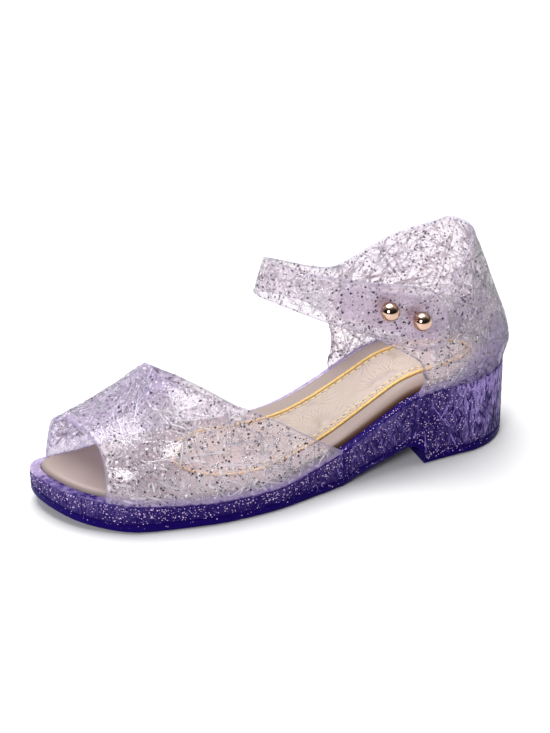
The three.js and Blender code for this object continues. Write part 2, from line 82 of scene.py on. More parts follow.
PANEL_ROUND = 0.12 * SANDAL_LENGTH
PANEL_BACK = 0.085 * SANDAL_LENGTH
PANEL_FRONT = 0.72 * SANDAL_LENGTH
PIPING_RADIUS = 0.75
STUD_RADIUS = 3.6
STUD_SUNK = 0.864
STUD_NECK = 1.5
STUD_BASE = 2.8
STUD_BASE_THICKNESS = 1.0

# Shares, turns and numbers of things
STRAP_RAKE = 0.32
OUTER_FULLNESS = 2.25
ANKLE_WIDEST = 0.36
INNER_SHARE = 0.95
OVERLAP_FROM, OVERLAP_FULL = 1.0, 1.14  # turns over which the strap rises over the tab
TEXTURED_ROWS = 33  # of the sole's side
RIM_GLITTER_TRIES = 3000  # places tried on top of the rim, all round the sole

# Sizes of the looks alone, in millimetres
FOOT_BAND = 3.4  # height of the smooth band along the floor
THIN_SIDE = 0.8  # the least height that the sole's side is given
SIDE_INSET = 0.3  # of the sole's side from its outline
RIM_COVER = 2.7  # how far the sole's side reaches up over the rim
RIDGE_LENGTH, RIDGE_HEIGHT = 0.7, 5.0  # size of the noise on the side
RIM_GLITTER = (44, 100)  # part of the outer side where the top of the rim has glitter
RIM_GLITTER_LIFT = 3.1  # its height over the sole
SMOOTH_START, SMOOTH_EXTRA = 5.0, 18.0  # the smooth part of the strap: before the rear stud, and past both
SMOOTH_RADIUS, SMOOTH_END = 7.5, 9.0  # and from the line between them
BEAD_FROM, BEAD_TO = 1.1, 1.9  # distance from a wall's edge over which its bead falls
EDGE_LINE_FROM, EDGE_LINE_TO = 0.35, 1.0  # distance over which the grey of the edge fades
STRAND_SPACE = 1.6  # strands keep this far from the throat and the lip of the vamp
SHORTEST_STRAND = 1.5
STITCH_INSET = 1.3

# The floor and the camera, in metres
FLOOR_REACH = 3.0
FLOOR_DROP = 0.0002  # keeps the floor clear of the underside
CAMERA_PLACE = (.3464, .6795, .4292)
CAMERA_RIGHT = Vector((-.92050, .39073, 0))
CAMERA_UP = Vector((-.18943, -.44627, .87462))
CAMERA_AHEAD = Vector((-.34173, -.80508, -.48481))
CAMERA_SHIFT = (-.01602, .01738)  # how far the view turns right and up, as shares of the way ahead
CAMERA_NEAR, CAMERA_FAR = .05, 20
SENSOR = 36  # of the camera, in millimetres
FOCAL_PIXELS, PHOTO_HEIGHT = 2242.5, 733

# Place along the length; middle line and breadth as shares of the ball's breadth
SOLE_OUTLINE = np.array([
    (0, 0, .746), (.14, .004, .752), (.24, .014, .774), (.36, .041, .797), (.47, .07, .844),
    (.57, .078, .944), (.67, .063, 1), (.76, .077, .905), (.85, .075, .813), (.93, .03, .744),
    (1, -.079, .781)])
# Place along the length; shares of the heel's lift, of the toe's spring on top and underneath, and of the
# shank's cove
SOLE_PROFILE = np.array([
    (0, 1, 0, 0, 0), (.212, 1, 0, 0, 0), (.2335, .975, 0, 0, 0), (.241, .962, 0, 0, 1),
    (.265, .91, 0, 0, 1), (.3185, .7, 0, 0, 1), (.371, .48, 0, 0, .9), (.4244, .285, 0, 0, .55),
    (.478, .135, 0, 0, .1), (.53, .045, 0, 0, 0), (.585, 0, 0, 0, 0), (.7, 0, .03, 0, 0),
    (.8, 0, .26, 0, 0), (.88, 0, .54, .08, 0), (.94, 0, .78, .34, 0), (1, 0, 1, .86, 0)])
# Share of the arch's length and of its rise
ARCH_PROFILE = np.array([
    (0, .7), (.03, .78), (.09, .95), (.16, 1), (.25, .95), (.46, .68), (.63, .46), (.78, .27),
    (.9, .12), (1, 0)])
# Distance in from the pad's edge, and share of its thickness
PAD_SIDE = np.array([
    (0, .55), (.25, .7), (.7, .83), (1.4, .92), (2.3, .97), (4.6, 1)])
# Place along the length; height as a share of the instep's, shift to the inner side, and the inner side's
# fullness
VAMP_CROWN = np.array([
    (.4, 1.125, .082, 2.05), (.51, 1.168, .086, 2.05), (.6, 1.157, .087, 2.05),
    (.68, 1.103, .097, 2.23), (.74, 1.006, .13, 2.71), (.8, .791, .149, 3.48), (.86, .642, .149, 4.12),
    (.91, .547, .121, 4.3), (.95, .472, .079, 4.37)])
# Turn round the section; places of the toe lip and of the throat
VAMP_EDGES = np.array([
    (0, .902, .412), (.04, .901, .445), (.12, .898, .506), (.19, .895, .558), (.25, .893, .612),
    (.31, .893, .666), (.38, .898, .708), (.44, .905, .733), (.5, .916, .743), (.56, .9255, .744),
    (.62, .935, .741), (.7, .941, .73), (.78, .943, .697), (.84, .945, .65), (.9, .948, .594),
    (.95, .951, .551), (1, .956, .507)])
# Share of the counter's height; shares of its lean and of the ankle's breadth
ANKLE_FORM = np.array([
    (0, .06, 1.02), (.09, -.03, 1.05), (.18, -.05, 1.06), (.3, .03, 1.04), (.45, .23, 1.02),
    (.6, .44, 1), (.8, .71, .97), (1, 1, .93)])
# Turns round the ankle; lower and upper edge over the heel seat as shares of the counter's height.
# A lower edge of -1 stands on the sole.
COLLAR_BAND = np.array([
    (.155, .674, .838), (.17, .579, .858), (.19, .509, .835), (.21, .42, .799), (.228, .327, .764),
    (.237, .255, .75), (.241, .172, .745), (.243, -1, .743), (.265, -1, .743), (.292, -1, .77),
    (.318, -1, .827), (.348, -1, .896), (.387, -1, .955), (.431, -1, .99), (.5, -1, 1), (.57, -1, .993),
    (.63, -1, .922), (.675, -1, .876), (.72, -1, .826), (.757, -1, .769), (.785, -1, .695),
    (.7935, -1, .683), (.7963, .06, .68), (.8005, .18, .677), (.806, .275, .677), (.815, .36, .69),
    (.836, .471, .736), (.86, .551, .795), (.89, .625, .861), (.928, .696, .931), (.97, .742, .984),
    (1.01, .763, 1.004), (1.045, .763, 1.003), (1.085, .738, .985), (1.12, .688, .965),
    (1.15, .627, .942), (1.177, .56, .911), (1.2, .487, .885), (1.222, .422, .854), (1.242, .37, .818),
    (1.26, .378, .766), (1.271, .445, .693), (1.276, .528, .61)])
COLLAR_ENDS = (COLLAR_BAND[0, 0], COLLAR_BAND[-1, 0])
# The sole's rounded edge at the floor: distance in, and height
FLOOR_EDGE = ((1.5, 0), (1.0, .1), (.62, .28), (.36, .62), (.24, 1.1))
# Its rounded top edge: distance in, and how far under the top
TOP_EDGE = ((.33, .4), (.42, .2), (.6, .06), (.8, 0))
# Place from the back in millimetres, and how light the side's streaks are there: partly their own tone and
# partly painted light, strongest at the back of the heel
SIDE_PAINTED_LIGHT = (
    (0, 2.1), (12, 1.9), (24, 1.3), (32, .4), (44, .12), (60, .35), (110, .1), (150, .05), (188, .4))
# Place from the back in millimetres, and how thickly the side's glitter lies there
SIDE_GLITTER = ((0, .35), (20, .5), (36, 1.6), (60, 1), (190, 1))
# The rim's section: distance in from the sole's outline and height over the sole, first where the sole's
# side covers it, and then where it is bare
RIM_SECTION = (
    (1.1, -.2, .6, .3), (1.0, .3, .34, .36), (.9, .8, .26, .6), (.75, 1.4, .2, 1.1), (.4, 2.0, .28, 1.6),
    (.34, 2.4, .5, 2.0), (.7, 2.85, .95, 2.25), (1.4, 3, 1.6, 2.35), (3.2, 3, 3.1, 2.3),
    (3.8, 2.85, 3.8, 2.1), (4.2, 2.4, 4.2, 1.7), (4.3, .3, 4.3, .3))
# The pad's foot: distance in from its edge, and share of its thickness
PAD_FOOT = ((.6, 0), (.3, .03), (.12, .09), (.02, .2), (0, .38), (.02, .5))
# The panel's side: distance in from its edge, and share of its thickness
PANEL_SIDE = ((.25, 0), (.05, .12), (0, .3), (0, .55), (.1, .75), (.35, .9), (.8, .98), (1.6, 1))
# Shares of the way from the pad's edge to the panel's seat at which the pad has its rows
PAD_ROWS = (.01, .02, .035, .055, .08, .11, .15, .2, .27, *np.linspace(.35, 1, 22))
# Turns round the ankle, and share of the counter's height
STUDS = {"stud_front": (.2035, .716), "stud_rear": (.2345, .616)}


# Curves, outlines and directions
def lerp(a, b, share):
    """From a to b in a straight line."""
    return a + (b - a) * share


def smooth(x, low, high):
    """0 below low, 1 above high, and 3t²-2t³ between."""
    t = np.clip((x - low) / (high - low), 0, 1)
    return t * t * (3 - 2 * t)


def along(keys, values, place):
    """A table's value at a place: a cubic through its rows whose slope at a row is the harmonic mean of
    the slopes of the two spans beside it, or 0 where they turn, so that it never overshoots. With one
    column of values for each place, every place reads its own column."""
    place = np.clip(np.asarray(place, float), keys[0], keys[-1])
    span = np.clip(np.searchsorted(keys, place, side="left") - 1, 0, len(keys) - 2)
    widths = np.diff(keys).reshape(-1, *[1] * (values.ndim - 1))
    slopes = np.diff(values, axis=0) / widths
    product, total = slopes[:-1] * slopes[1:], slopes[:-1] + slopes[1:]
    inner = np.where(product > 0, 2 * product / np.where(product > 0, total, 1), 0)
    tangents = np.concatenate([slopes[:1], inner, slopes[-1:]])

    def pick(rows, at):
        return rows[at] if rows.ndim == 1 else rows[at, np.arange(len(at))]

    width = np.diff(keys)[span]
    t = (place - keys[span]) / width
    level = pick(values, span) * (2 * t**3 - 3 * t**2 + 1) + pick(values, span + 1) * (3 * t**2 - 2 * t**3)
    bend = pick(tangents, span) * (t**3 - 2 * t**2 + t) + pick(tangents, span + 1) * (t**3 - t**2)
    return level + width * bend


def column(table, index, place):
    """One column of a table at a place in its first column."""
    return along(table[:, 0], table[:, index], place)


def sole_top(x):
    """Height of the sole's top: the fore part with shares of the heel's lift and the toe's spring."""
    at = x / SANDAL_LENGTH
    lift, spring = column(SOLE_PROFILE, 1, at), column(SOLE_PROFILE, 2, at)
    return FORE_THICKNESS + lift * (HEEL_LIFT - FORE_THICKNESS) + spring * TOE_SPRING


def sole_under(x):
    """Height of the underside without the arch."""
    return column(SOLE_PROFILE, 3, x / SANDAL_LENGTH) * TOE_SPRING


def wall_base(x):
    """Height at which the upper's walls start, sunk in the rim."""
    return sole_top(x) + GAP + RIM_HEIGHT - WALL_SUNK


def pad_top(x):
    """Height of the footbed's top."""
    return sole_top(x) + GAP + PAD_THICKNESS


class Outline:
    """A plan outline between two places along the sole: the middle line plus or minus half the breadth,
    less an inset, times the quarter round sqrt(b(2-b)) of each end, where b is the share of the rounded
    end passed."""

    def __init__(self, start, end, inset, back, front):
        self.start, self.end, self.inset, self.back, self.front = start, end, inset, back, front

    def half(self, x, side):
        """The outline's y at x, on the outer side for a side of 1 and on the inner side for -1."""
        at = x / SANDAL_LENGTH
        centre = column(SOLE_OUTLINE, 1, at) * BALL_BREADTH
        breadth = column(SOLE_OUTLINE, 2, at) * BALL_BREADTH
        back = np.clip((x - self.start) / self.back, 0, 1)
        front = np.clip((self.end - x) / self.front, 0, 1)
        rounding = np.sqrt(back * (2 - back) * front * (2 - front))
        return centre + side * (breadth / 2 - self.inset) * rounding

    def at(self, angle, outward=0.0):
        """The point at an angle, 0 at the back and pi at the front, moved out along the plan's normal."""
        def place(a):
            x = lerp(self.start, self.end, (1 - np.cos(a)) / 2)
            return x, self.half(x, np.where(np.sin(a) >= 0, 1, -1))
        step = 1e-3
        (x, y), (x0, y0), (x1, y1) = place(angle), place(angle - step), place(angle + step)
        size = np.hypot(x1 - x0, y1 - y0)
        return x - (y1 - y0) / size * outward, y + (x1 - x0) / size * outward


SOLE_LOOP = Outline(HEEL_BACK, SANDAL_LENGTH, 0, HEEL_ROUND, TOE_ROUND)
WALL_LOOP = Outline(
    HEEL_BACK + UPPER_FOOT, SANDAL_LENGTH - UPPER_FOOT, UPPER_FOOT, HEEL_ROUND, TOE_ROUND)
PANEL_LOOP = Outline(PANEL_BACK, PANEL_FRONT, PANEL_MARGIN, PANEL_ROUND, PANEL_ROUND)


def path_length(points, axis):
    """Length along one axis of a grid of points, from its start."""
    steps = np.linalg.norm(np.diff(points, axis=axis), axis=-1)
    start = np.zeros_like(np.take(steps, [0], axis=axis))
    return np.concatenate([start, np.cumsum(steps, axis=axis)], axis=axis)


def loop_length(x, y):
    """Length along a line of points, from its start."""
    return np.concatenate([[0], np.cumsum(np.hypot(np.diff(x), np.diff(y)))])


def unit(vectors):
    """Vectors of length 1 in the same directions."""
    return vectors / np.maximum(np.linalg.norm(vectors, axis=-1, keepdims=True), 1e-12)


def normal_of(surface, u, v, step=1e-3):
    """Unit normal: the cross product of the surface's two central differences."""
    du = surface(u + step, v) - surface(u - step, v)
    dv = surface(u, v + step) - surface(u, v - step)
    return unit(np.cross(du, dv))


def frame_of(surface, u, v, step=1e-4):
    """Point, normal and the two slopes of a surface."""
    du = (surface(u + step, v) - surface(u - step, v)) / (2 * step)
    dv = (surface(u, v + step) - surface(u, v - step)) / (2 * step)
    return surface(u, v), unit(np.cross(du, dv)), du, dv


def value_noise(u, v, seed, size=256):
    """Smooth noise from 0 to 1: random numbers on whole-number places, blended by 3t²-2t³ in between."""
    lattice = np.random.default_rng(seed).random((size, size))
    iu, iv = np.floor(u).astype(int), np.floor(v).astype(int)
    tu, tv = smooth(u - iu, 0, 1), smooth(v - iv, 0, 1)
    a, b = lattice[iu % size, iv % size], lattice[(iu + 1) % size, iv % size]
    c, d = lattice[iu % size, (iv + 1) % size], lattice[(iu + 1) % size, (iv + 1) % size]
    return lerp(lerp(a, b, tu), lerp(c, d, tu), tv)


# Surfaces of the upper
def vamp(turn, share):
    """The vamp from the outer base (turn 0) over the crown to the inner base (turn 1), and from the throat
    (share 0) to the toe lip (share 1). Each section is a flattened ellipse: across is |cos|^p of its reach
    and a small bulge of |sin 2a|, and height is sin^p of the crown's height, for p = 2 / fullness."""
    x = lerp(column(VAMP_EDGES, 2, turn), column(VAMP_EDGES, 1, turn), share) * SANDAL_LENGTH
    at = x / SANDAL_LENGTH
    centre = (column(SOLE_OUTLINE, 1, at) - column(VAMP_CROWN, 2, at)) * BALL_BREADTH
    angle = np.clip(turn, 0, 1) * np.pi
    side = np.where(np.cos(angle) >= 0, 1, -1)
    reach = np.abs(WALL_LOOP.half(x, side) - centre)
    power = 2 / np.where(side > 0, OUTER_FULLNESS, column(VAMP_CROWN, 3, at))
    across = np.abs(np.cos(angle)) ** power * reach + VAMP_BULGE * np.abs(np.sin(2 * angle))
    rise = np.abs(np.sin(angle)) ** power * column(VAMP_CROWN, 1, at) * INSTEP_HEIGHT
    return np.stack([x, centre + side * across, wall_base(x) + rise], -1)


def ankle_reach(around, z):
    """Place along the foot of the ankle form: the widest place plus a cosine of the turn."""
    c = np.cos(2 * np.pi * around)
    back = column(ANKLE_FORM, 1, (z - HEEL_LIFT) / COUNTER_HEIGHT) * COUNTER_LEAN
    front = STRAP_REACH + (STRAP_EDGE_HEIGHT - z) * STRAP_RAKE
    return lerp(back, front, ANKLE_WIDEST + np.where(c > 0, 1 - ANKLE_WIDEST, ANKLE_WIDEST) * c)


def ankle_foot(around):
    """Height at which the ankle form meets the sole, found by putting its place back in eight times."""
    foot = np.full(np.shape(around), HEEL_LIFT)
    for _ in range(8):
        foot = wall_base(ankle_reach(around, foot))
    return foot


def ankle(around, height):
    """The ankle form: an egg-shaped ring of cosine and sine of the turn, blended into the sole's outline
    at its foot."""
    s = np.sin(2 * np.pi * around)
    side = np.where(s >= 0, 1, -1)
    foot = ankle_foot(around)
    foot_x = np.maximum(ankle_reach(around, foot), HEEL_BACK + UPPER_FOOT)
    breadth = column(ANKLE_FORM, 2, (height - HEEL_LIFT) / COUNTER_HEIGHT) * ANKLE_BREADTH
    blend = smooth(height, foot, foot + FOOT_BLEND)
    x = lerp(foot_x, ankle_reach(around, height), blend)
    y = lerp(WALL_LOOP.half(foot_x, side), s * breadth * np.where(side > 0, 1, INNER_SHARE) / 2, blend)
    return np.stack([x, y, height], -1)


def collar_edges(around):
    """Heights of the band's lower and upper edge."""
    low = COLLAR_BAND[:, 1:2]
    lows = np.where(low < 0, ankle_foot(around), HEEL_LIFT + low * COUNTER_HEIGHT)
    tops = HEEL_LIFT + COLLAR_BAND[:, 2] * COUNTER_HEIGHT
    return along(COLLAR_BAND[:, 0], lows, around), along(COLLAR_BAND[:, 0], tops, around)


def ankle_layer(around, height):
    """The ankle form, moved out along its normal by a wall and a gap where the strap is over the tab."""
    layer = smooth(around, OVERLAP_FROM, OVERLAP_FULL)[..., None] * (WALL + GAP)
    return ankle(around, height) + normal_of(ankle, around, height) * layer


def collar(around, share):
    """Counter, tab and strap as one band on the ankle form, from lower edge (share 0) to upper edge."""
    around, share = np.broadcast_arrays(np.asarray(around, float), np.asarray(share, float))
    low, top = collar_edges(around.ravel())
    return ankle_layer(around.ravel(), lerp(low, top, share.ravel())).reshape(*around.shape, 3)


# Surfaces of the sole
def side_limits(x):
    """Height of the sole's underside, arch included, and of its top."""
    arch = column(ARCH_PROFILE, 1, (x - HEEL_LENGTH) / ARCH_LENGTH) * ARCH_RISE
    arch = np.where((x > HEEL_LENGTH) & (x < HEEL_LENGTH + ARCH_LENGTH), arch, 0)
    return np.maximum(sole_under(x), arch), sole_top(x)


def bare_rim(x, y):
    """1 round the toe's tip and along the inner side, where the rim is a bare bead, and 0 elsewhere."""
    toe = smooth(x, 150, 166) * (1 - smooth(y, -14, 4))
    inner_side = smooth(x, 4, 26) * (1 - smooth(y, -12, 0))
    return np.maximum(toe, inner_side)


def side_inset(x, height):
    """How far the side lies in from the outline: most at the foot of the shank's cove."""
    bottom, top = side_limits(x)
    share = np.clip((height - bottom) / np.maximum(top - bottom, THIN_SIDE), 0, 1)
    return SIDE_INSET + column(SOLE_PROFILE, 4, x / SANDAL_LENGTH) * COVE_INSET * .75 * (1 - share)


def sole_side(angle, share):
    """The textured side of the sole, from the foot band (share 0) to its top edge (share 1)."""
    x, _ = SOLE_LOOP.at(angle)
    bottom, top = side_limits(x)
    height = lerp(bottom + np.minimum(FOOT_BAND, .5 * (top - bottom)), top + .6, share)
    x, y = SOLE_LOOP.at(angle, -side_inset(x, height))
    return np.stack([x, y, height], -1)


def sole_rows(relief):
    """Rows of the sole's side from the floor up: a foot band with a rounded edge, then the textured side, where
    noise stretched upright stands proud, and the rounded top edge. Also the noise, how strongly the light
    streaks show, which carries painted light, and the foot band."""
    angles = loop_angles(900, (HEEL_LENGTH - .01, HEEL_LENGTH + .01))
    x0, y0 = SOLE_LOOP.at(angles)
    passed = loop_length(x0, y0)
    bottom, top = side_limits(x0)
    side = np.maximum(top - bottom, THIN_SIDE)
    rise = RIM_COVER * (1 - bare_rim(x0, y0))
    band = np.minimum(FOOT_BAND, .5 * side)
    low = np.minimum(1, side / 5)
    cove = column(SOLE_PROFILE, 4, x0 / SANDAL_LENGTH) * COVE_INSET
    # painted light on the side's streaks, read from the table along the sole and growing up the side
    painted_light_share = np.interp(x0, *zip(*SIDE_PAINTED_LIGHT))
    rows = []

    def row(inset, height, texture=0.0, foot=0.0):
        ridge = value_noise(passed / RIDGE_LENGTH, height / RIDGE_HEIGHT, 11)
        ridge = np.clip(1 - np.abs(ridge - .55) * 4, 0, 1)
        x, y = SOLE_LOOP.at(angles, ridge * min(texture, 1) * relief - inset)
        rows.append((np.stack([x, y, height], -1), ridge, painted_light_share * texture, np.full(len(x), foot)))

    for inset, height in FLOOR_EDGE:
        row(inset + cove * .9, bottom + height * low, foot=1)
    for share in (.35, .7, 1.0):
        height = bottom + lerp(1.15 * low, band, share)
        row(side_inset(x0, height) - .06, height, foot=1 - .4 * share)
    for share in np.linspace(0, 1, TEXTURED_ROWS):
        height = bottom + lerp(band + .12, side + rise - .45, share)
        texture = min(1, 8 * share) * lerp(.6, 1.35, share)
        row(side_inset(x0, height) + relief * .9 * (1 - share), height, texture)
    for inset, under in TOP_EDGE:
        row(inset, top + rise - under, 1.2)
    row(1.0, top)
    return [np.stack(parts) for parts in zip(*rows)]


def rim_rows(angles):
    """The rim's section carried round the sole: a row of points for each of its corners."""
    x, y = SOLE_LOOP.at(angles)
    bare, base = bare_rim(x, y), sole_top(x)
    rows = []
    for inset, lift, bare_inset, bare_lift in RIM_SECTION:
        px, py = SOLE_LOOP.at(angles, -lerp(inset, bare_inset, bare))
        rows.append(np.stack([px, py, base + lerp(lift, bare_lift, bare)], -1))
    return np.stack(rows)


# Surfaces of the footbed
def pad_rows(angles):
    """Rows of the pad: up its foot, over its rounded edge to the panel's seat, where it rolls down a little,
    and down into the seat. Also how near the foot of the side each point is, from 0 to 1, which sets the
    painted shade there."""
    edge = RIM_INSET + RIM_BREADTH + GAP
    seat = 2 * PIPING_RADIUS + 2 * GAP
    rows = []
    for inset, height in PAD_FOOT:
        x, y = SOLE_LOOP.at(angles, -(edge + inset))
        rows.append((x, y, sole_top(x) + GAP + height * PAD_THICKNESS, np.ones_like(x)))
    x0, y0 = SOLE_LOOP.at(angles, -edge)
    first_x, first_y = SOLE_LOOP.at(angles, -(edge + .05))
    last_x, last_y = PANEL_LOOP.at(angles, seat)
    for share in PAD_ROWS:
        x, y = lerp(first_x, last_x, share), lerp(first_y, last_y, share)
        inset, left = np.hypot(x - x0, y - y0), np.hypot(x - last_x, y - last_y)
        roll = .25 * np.clip(1 - left / 1.2, 0, 1) ** 2
        height = sole_top(x) + GAP + column(PAD_SIDE, 1, inset) * PAD_THICKNESS - roll
        rows.append((x, y, height, np.clip(1 - inset / 7, 0, 1) ** 1.4))
    for inset, down in ((.03, .6), (.1, PANEL_SUNK + GAP)):
        x, y = PANEL_LOOP.at(angles, seat - inset)
        rows.append((x, y, pad_top(x) - down, np.zeros_like(x)))
    x, y, z, low = (np.stack(part) for part in zip(*rows))
    return np.stack([x, y, z], -1), low


def panel_row(angles, outward, height):
    """A row round the panel's outline, at a height over the underside of the panel."""
    x, y = PANEL_LOOP.at(angles, outward)
    return np.stack([x, y, pad_top(x) - PANEL_SUNK + height], -1)


# Meshes
def piece(name, points, quads=(), triangles=(), *, finish, slot, values=None, sharp=None, replaces=()):
    """Puts points and their faces into a new mesh object that rides on the sandal. The points are in
    millimetres from the back of the counter's bulge. values are numbers for each point that the finish
    reads, and faces that meet at more than the angle sharp, in degrees, keep a sharp edge."""
    mesh = bpy.data.meshes.new(name)
    quads, triangles = np.reshape(quads, (-1, 4)).astype(int), np.reshape(triangles, (-1, 3)).astype(int)
    corners = np.concatenate([quads.ravel(), triangles.ravel()]).astype(np.int32)
    sizes = np.concatenate([np.full(len(quads), 4), np.full(len(triangles), 3)])
    points = (np.asarray(points, float).reshape(-1, 3) - [FRAME_ORIGIN, 0, 0]) * .001
    mesh.vertices.add(len(points))
    mesh.vertices.foreach_set("co", points.ravel().astype(np.float32))
    mesh.loops.add(len(corners))
    mesh.loops.foreach_set("vertex_index", corners)
    mesh.polygons.add(len(sizes))
    mesh.polygons.foreach_set("loop_start", (np.cumsum(sizes) - sizes).astype(np.int32))
    mesh.update(calc_edges=True)
    mesh.polygons.foreach_set("use_smooth", np.ones(len(sizes), bool))
    if sharp is not None:
        mesh.set_sharp_from_angle(angle=np.radians(sharp))
    for key, data in (values or {}).items():
        layer = mesh.attributes.new(key, "FLOAT", "POINT")
        layer.data.foreach_set("value", np.asarray(data, np.float32).ravel())
    if mesh.validate():
        raise RuntimeError(f"{name} has faces that Blender had to mend")
    thing = bpy.data.objects.new(name, mesh)
    bpy.context.scene.collection.objects.link(thing)
    mesh.materials.append(finish)
    if replaces:
        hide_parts(*replaces)
    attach(thing, "root")
    return thing


def strip_quads(rows, across):
    """Corner numbers of the faces between stacked rows of points, each row a loop."""
    i, j = np.meshgrid(np.arange(rows - 1), np.arange(across), indexing="ij")
    k = (j + 1) % across
    low, high = i * across, (i + 1) * across
    return np.stack([low + j, high + j, high + k, low + k], -1).reshape(-1, 4)


def sheet_quads(corners):
    """Faces between the corner numbers of an open grid."""
    around = [corners[:-1, :-1], corners[1:, :-1], corners[1:, 1:], corners[:-1, 1:]]
    return np.stack(around, -1).reshape(-1, 4)


def loop_cap(first, count, upward):
    """Faces that close a loop: strips from each point to the one opposite, and end triangles."""
    j = np.arange(1, count // 2 - 1)
    quads = np.stack([first + j, first + j + 1, first + count - j - 1, first + count - j], -1)
    half = count // 2
    triangles = np.array([
        [first, first + 1, first + count - 1], [first + half - 1, first + half, first + half + 1]])
    return (quads[:, ::-1], triangles[:, ::-1]) if upward else (quads, triangles)


def loop_angles(count, stations=()):
    """Even angles round a loop, with further ones at given places along the sole on both sides."""
    cut = np.arccos(1 - 2 * (np.array(stations) - HEEL_BACK) / (SANDAL_LENGTH - HEEL_BACK))
    half = np.sort(np.concatenate([np.linspace(0, np.pi, count // 2 + 1), cut]))
    return np.concatenate([half, 2 * np.pi - half[-2:0:-1]])


def stack(rows):
    """Points and faces of loops stacked upward, closed below and above. rows is an array of rows, points
    and x y z."""
    count, across = rows.shape[:2]
    low_quads, low_triangles = loop_cap(0, across, False)
    top_quads, top_triangles = loop_cap((count - 1) * across, across, True)
    quads = np.concatenate([strip_quads(count, across), low_quads, top_quads])
    return rows.reshape(-1, 3), quads, np.concatenate([low_triangles, top_triangles])


def ring(rows):
    """Points and faces of a closed section carried round a loop."""
    count, across = rows.shape[:2]
    return rows.reshape(-1, 3), strip_quads(count + 1, across) % (count * across)


def turned(profile, low, top, segments):
    """Points and faces of a body turned round its axis: rows of radius and height, each carried round by
    cosine and sine, and closed by a point at the heights low and top."""
    turns = np.arange(segments) * 2 * np.pi / segments
    rows = np.stack([
        profile[:, :1] * np.cos(turns), profile[:, :1] * np.sin(turns),
        np.broadcast_to(profile[:, 1:], (len(profile), segments))], -1)
    points = np.concatenate([rows.reshape(-1, 3), [[0, 0, low], [0, 0, top]]])
    j = np.arange(segments)
    k = (j + 1) % segments
    last = (len(profile) - 1) * segments
    below, above = np.full(segments, len(points) - 2), np.full(segments, len(points) - 1)
    triangles = np.concatenate([np.stack([below, k, j], -1), np.stack([above, last + j, last + k], -1)])
    return points, strip_quads(len(profile), segments)[:, ::-1], triangles


def beads(at, size, lift):
    """Small rounded bodies in a row inside the panel's edge: each is a stretched ball of cosine and sine
    on a grid of eight turns and six rows, laid along the edge. size is half its length, width and height,
    and lift is how far its middle lies over the panel."""
    step, turns, rises = 1e-3, 8, 6
    (x, y), (x0, y0), (x1, y1) = (PANEL_LOOP.at(at + more, -STITCH_INSET) for more in (0, -step, step))
    tangent = unit(np.stack([x1 - x0, y1 - y0, pad_top(x1) - pad_top(x0)], -1))
    side = unit(np.stack([-tangent[:, 1], tangent[:, 0], np.zeros(len(x))], -1))
    up = np.cross(tangent, side)
    rise, turn = np.meshgrid(np.linspace(-np.pi / 2 + .25, np.pi / 2 - .25, rises),
                             np.arange(turns) * 2 * np.pi / turns, indexing="ij")
    ball = np.stack([np.sin(rise), np.cos(rise) * np.cos(turn), np.cos(rise) * np.sin(turn)], -1) * size
    top = pad_top(x) - PANEL_SUNK + PANEL_THICKNESS + lift
    points = np.stack([x, y, top], -1)[:, None, None]
    for number, axis in enumerate((tangent, side, up)):
        points = points + ball[..., number, None] * axis[:, None, None]
    cap = np.array([[0, 1, 2, 3], [0, 3, 4, 7], [4, 5, 6, 7]])
    faces = np.concatenate([strip_quads(rises, turns)[:, ::-1], cap[:, ::-1], cap + (rises - 1) * turns])
    start = (np.arange(len(x)) * turns * rises)[:, None, None]
    return points.reshape(-1, 3), (start + faces[None]).reshape(-1, 4)


# Walls, and the zones of their finish
def edge_spacing(length, count, slant):
    """Distances of rows across a wall: four rows on a quarter circle at each edge, even rows between them,
    and the share of the half thickness at each, which is the sine along that quarter circle."""
    quarter = np.linspace(0, np.pi / 2, 5)
    near = (1 - np.cos(quarter)) * np.minimum(WALL / 2 * slant, .4 * length)[..., None]
    even = np.linspace(0, 1, count)[1:-1]
    middle = lerp(near[..., -1:], length[..., None] - near[..., -1:], even)
    rows = np.concatenate([near, middle, length[..., None] - near[..., ::-1]], -1)
    thickness = np.concatenate([np.sin(quarter), np.ones(count - 2), np.sin(quarter)[::-1]])
    return rows, thickness


def wall_grid(surface, ends, columns, rows):
    """u and v of a wall's points, close together at all four edges, and at each point its thickness share
    and its distance from the nearest edge."""
    fine_u, fine_v = np.linspace(*ends, 900), np.linspace(0, 1, 60)
    middle = surface(fine_u, np.full_like(fine_u, .5))
    passed = path_length(middle, 0)
    stops, across = edge_spacing(passed[-1:], columns, 1.0)
    u = np.interp(stops[0], passed, fine_u)
    widths = path_length(surface(u[:, None], fine_v[None, :]), 1)
    length = widths[:, -1]

    def slant(v):
        """How much longer a row's way in from the edge is than a straight one: 1 over the sine between."""
        edge = unit(np.gradient(surface(u, np.full_like(u, v)), u, axis=0))
        up = unit(surface(u, np.full_like(u, .51)) - surface(u, np.full_like(u, .49)))
        return 1 / np.maximum(np.linalg.norm(np.cross(edge, up), axis=1), .3)

    slope = np.maximum(slant(0.02), slant(0.98))
    distance, along_v = edge_spacing(length, rows, slope)
    v = np.stack([np.interp(d, w, fine_v) for d, w in zip(distance, widths)])
    thickness = np.minimum(across[:, None], along_v[None, :])
    from_edge = np.minimum(distance, length[:, None] - distance) / slope[:, None]
    from_end = np.minimum(stops[0], passed[-1] - stops[0])[:, None]
    return np.broadcast_to(u[:, None], v.shape), v, thickness, np.minimum(from_edge, from_end)


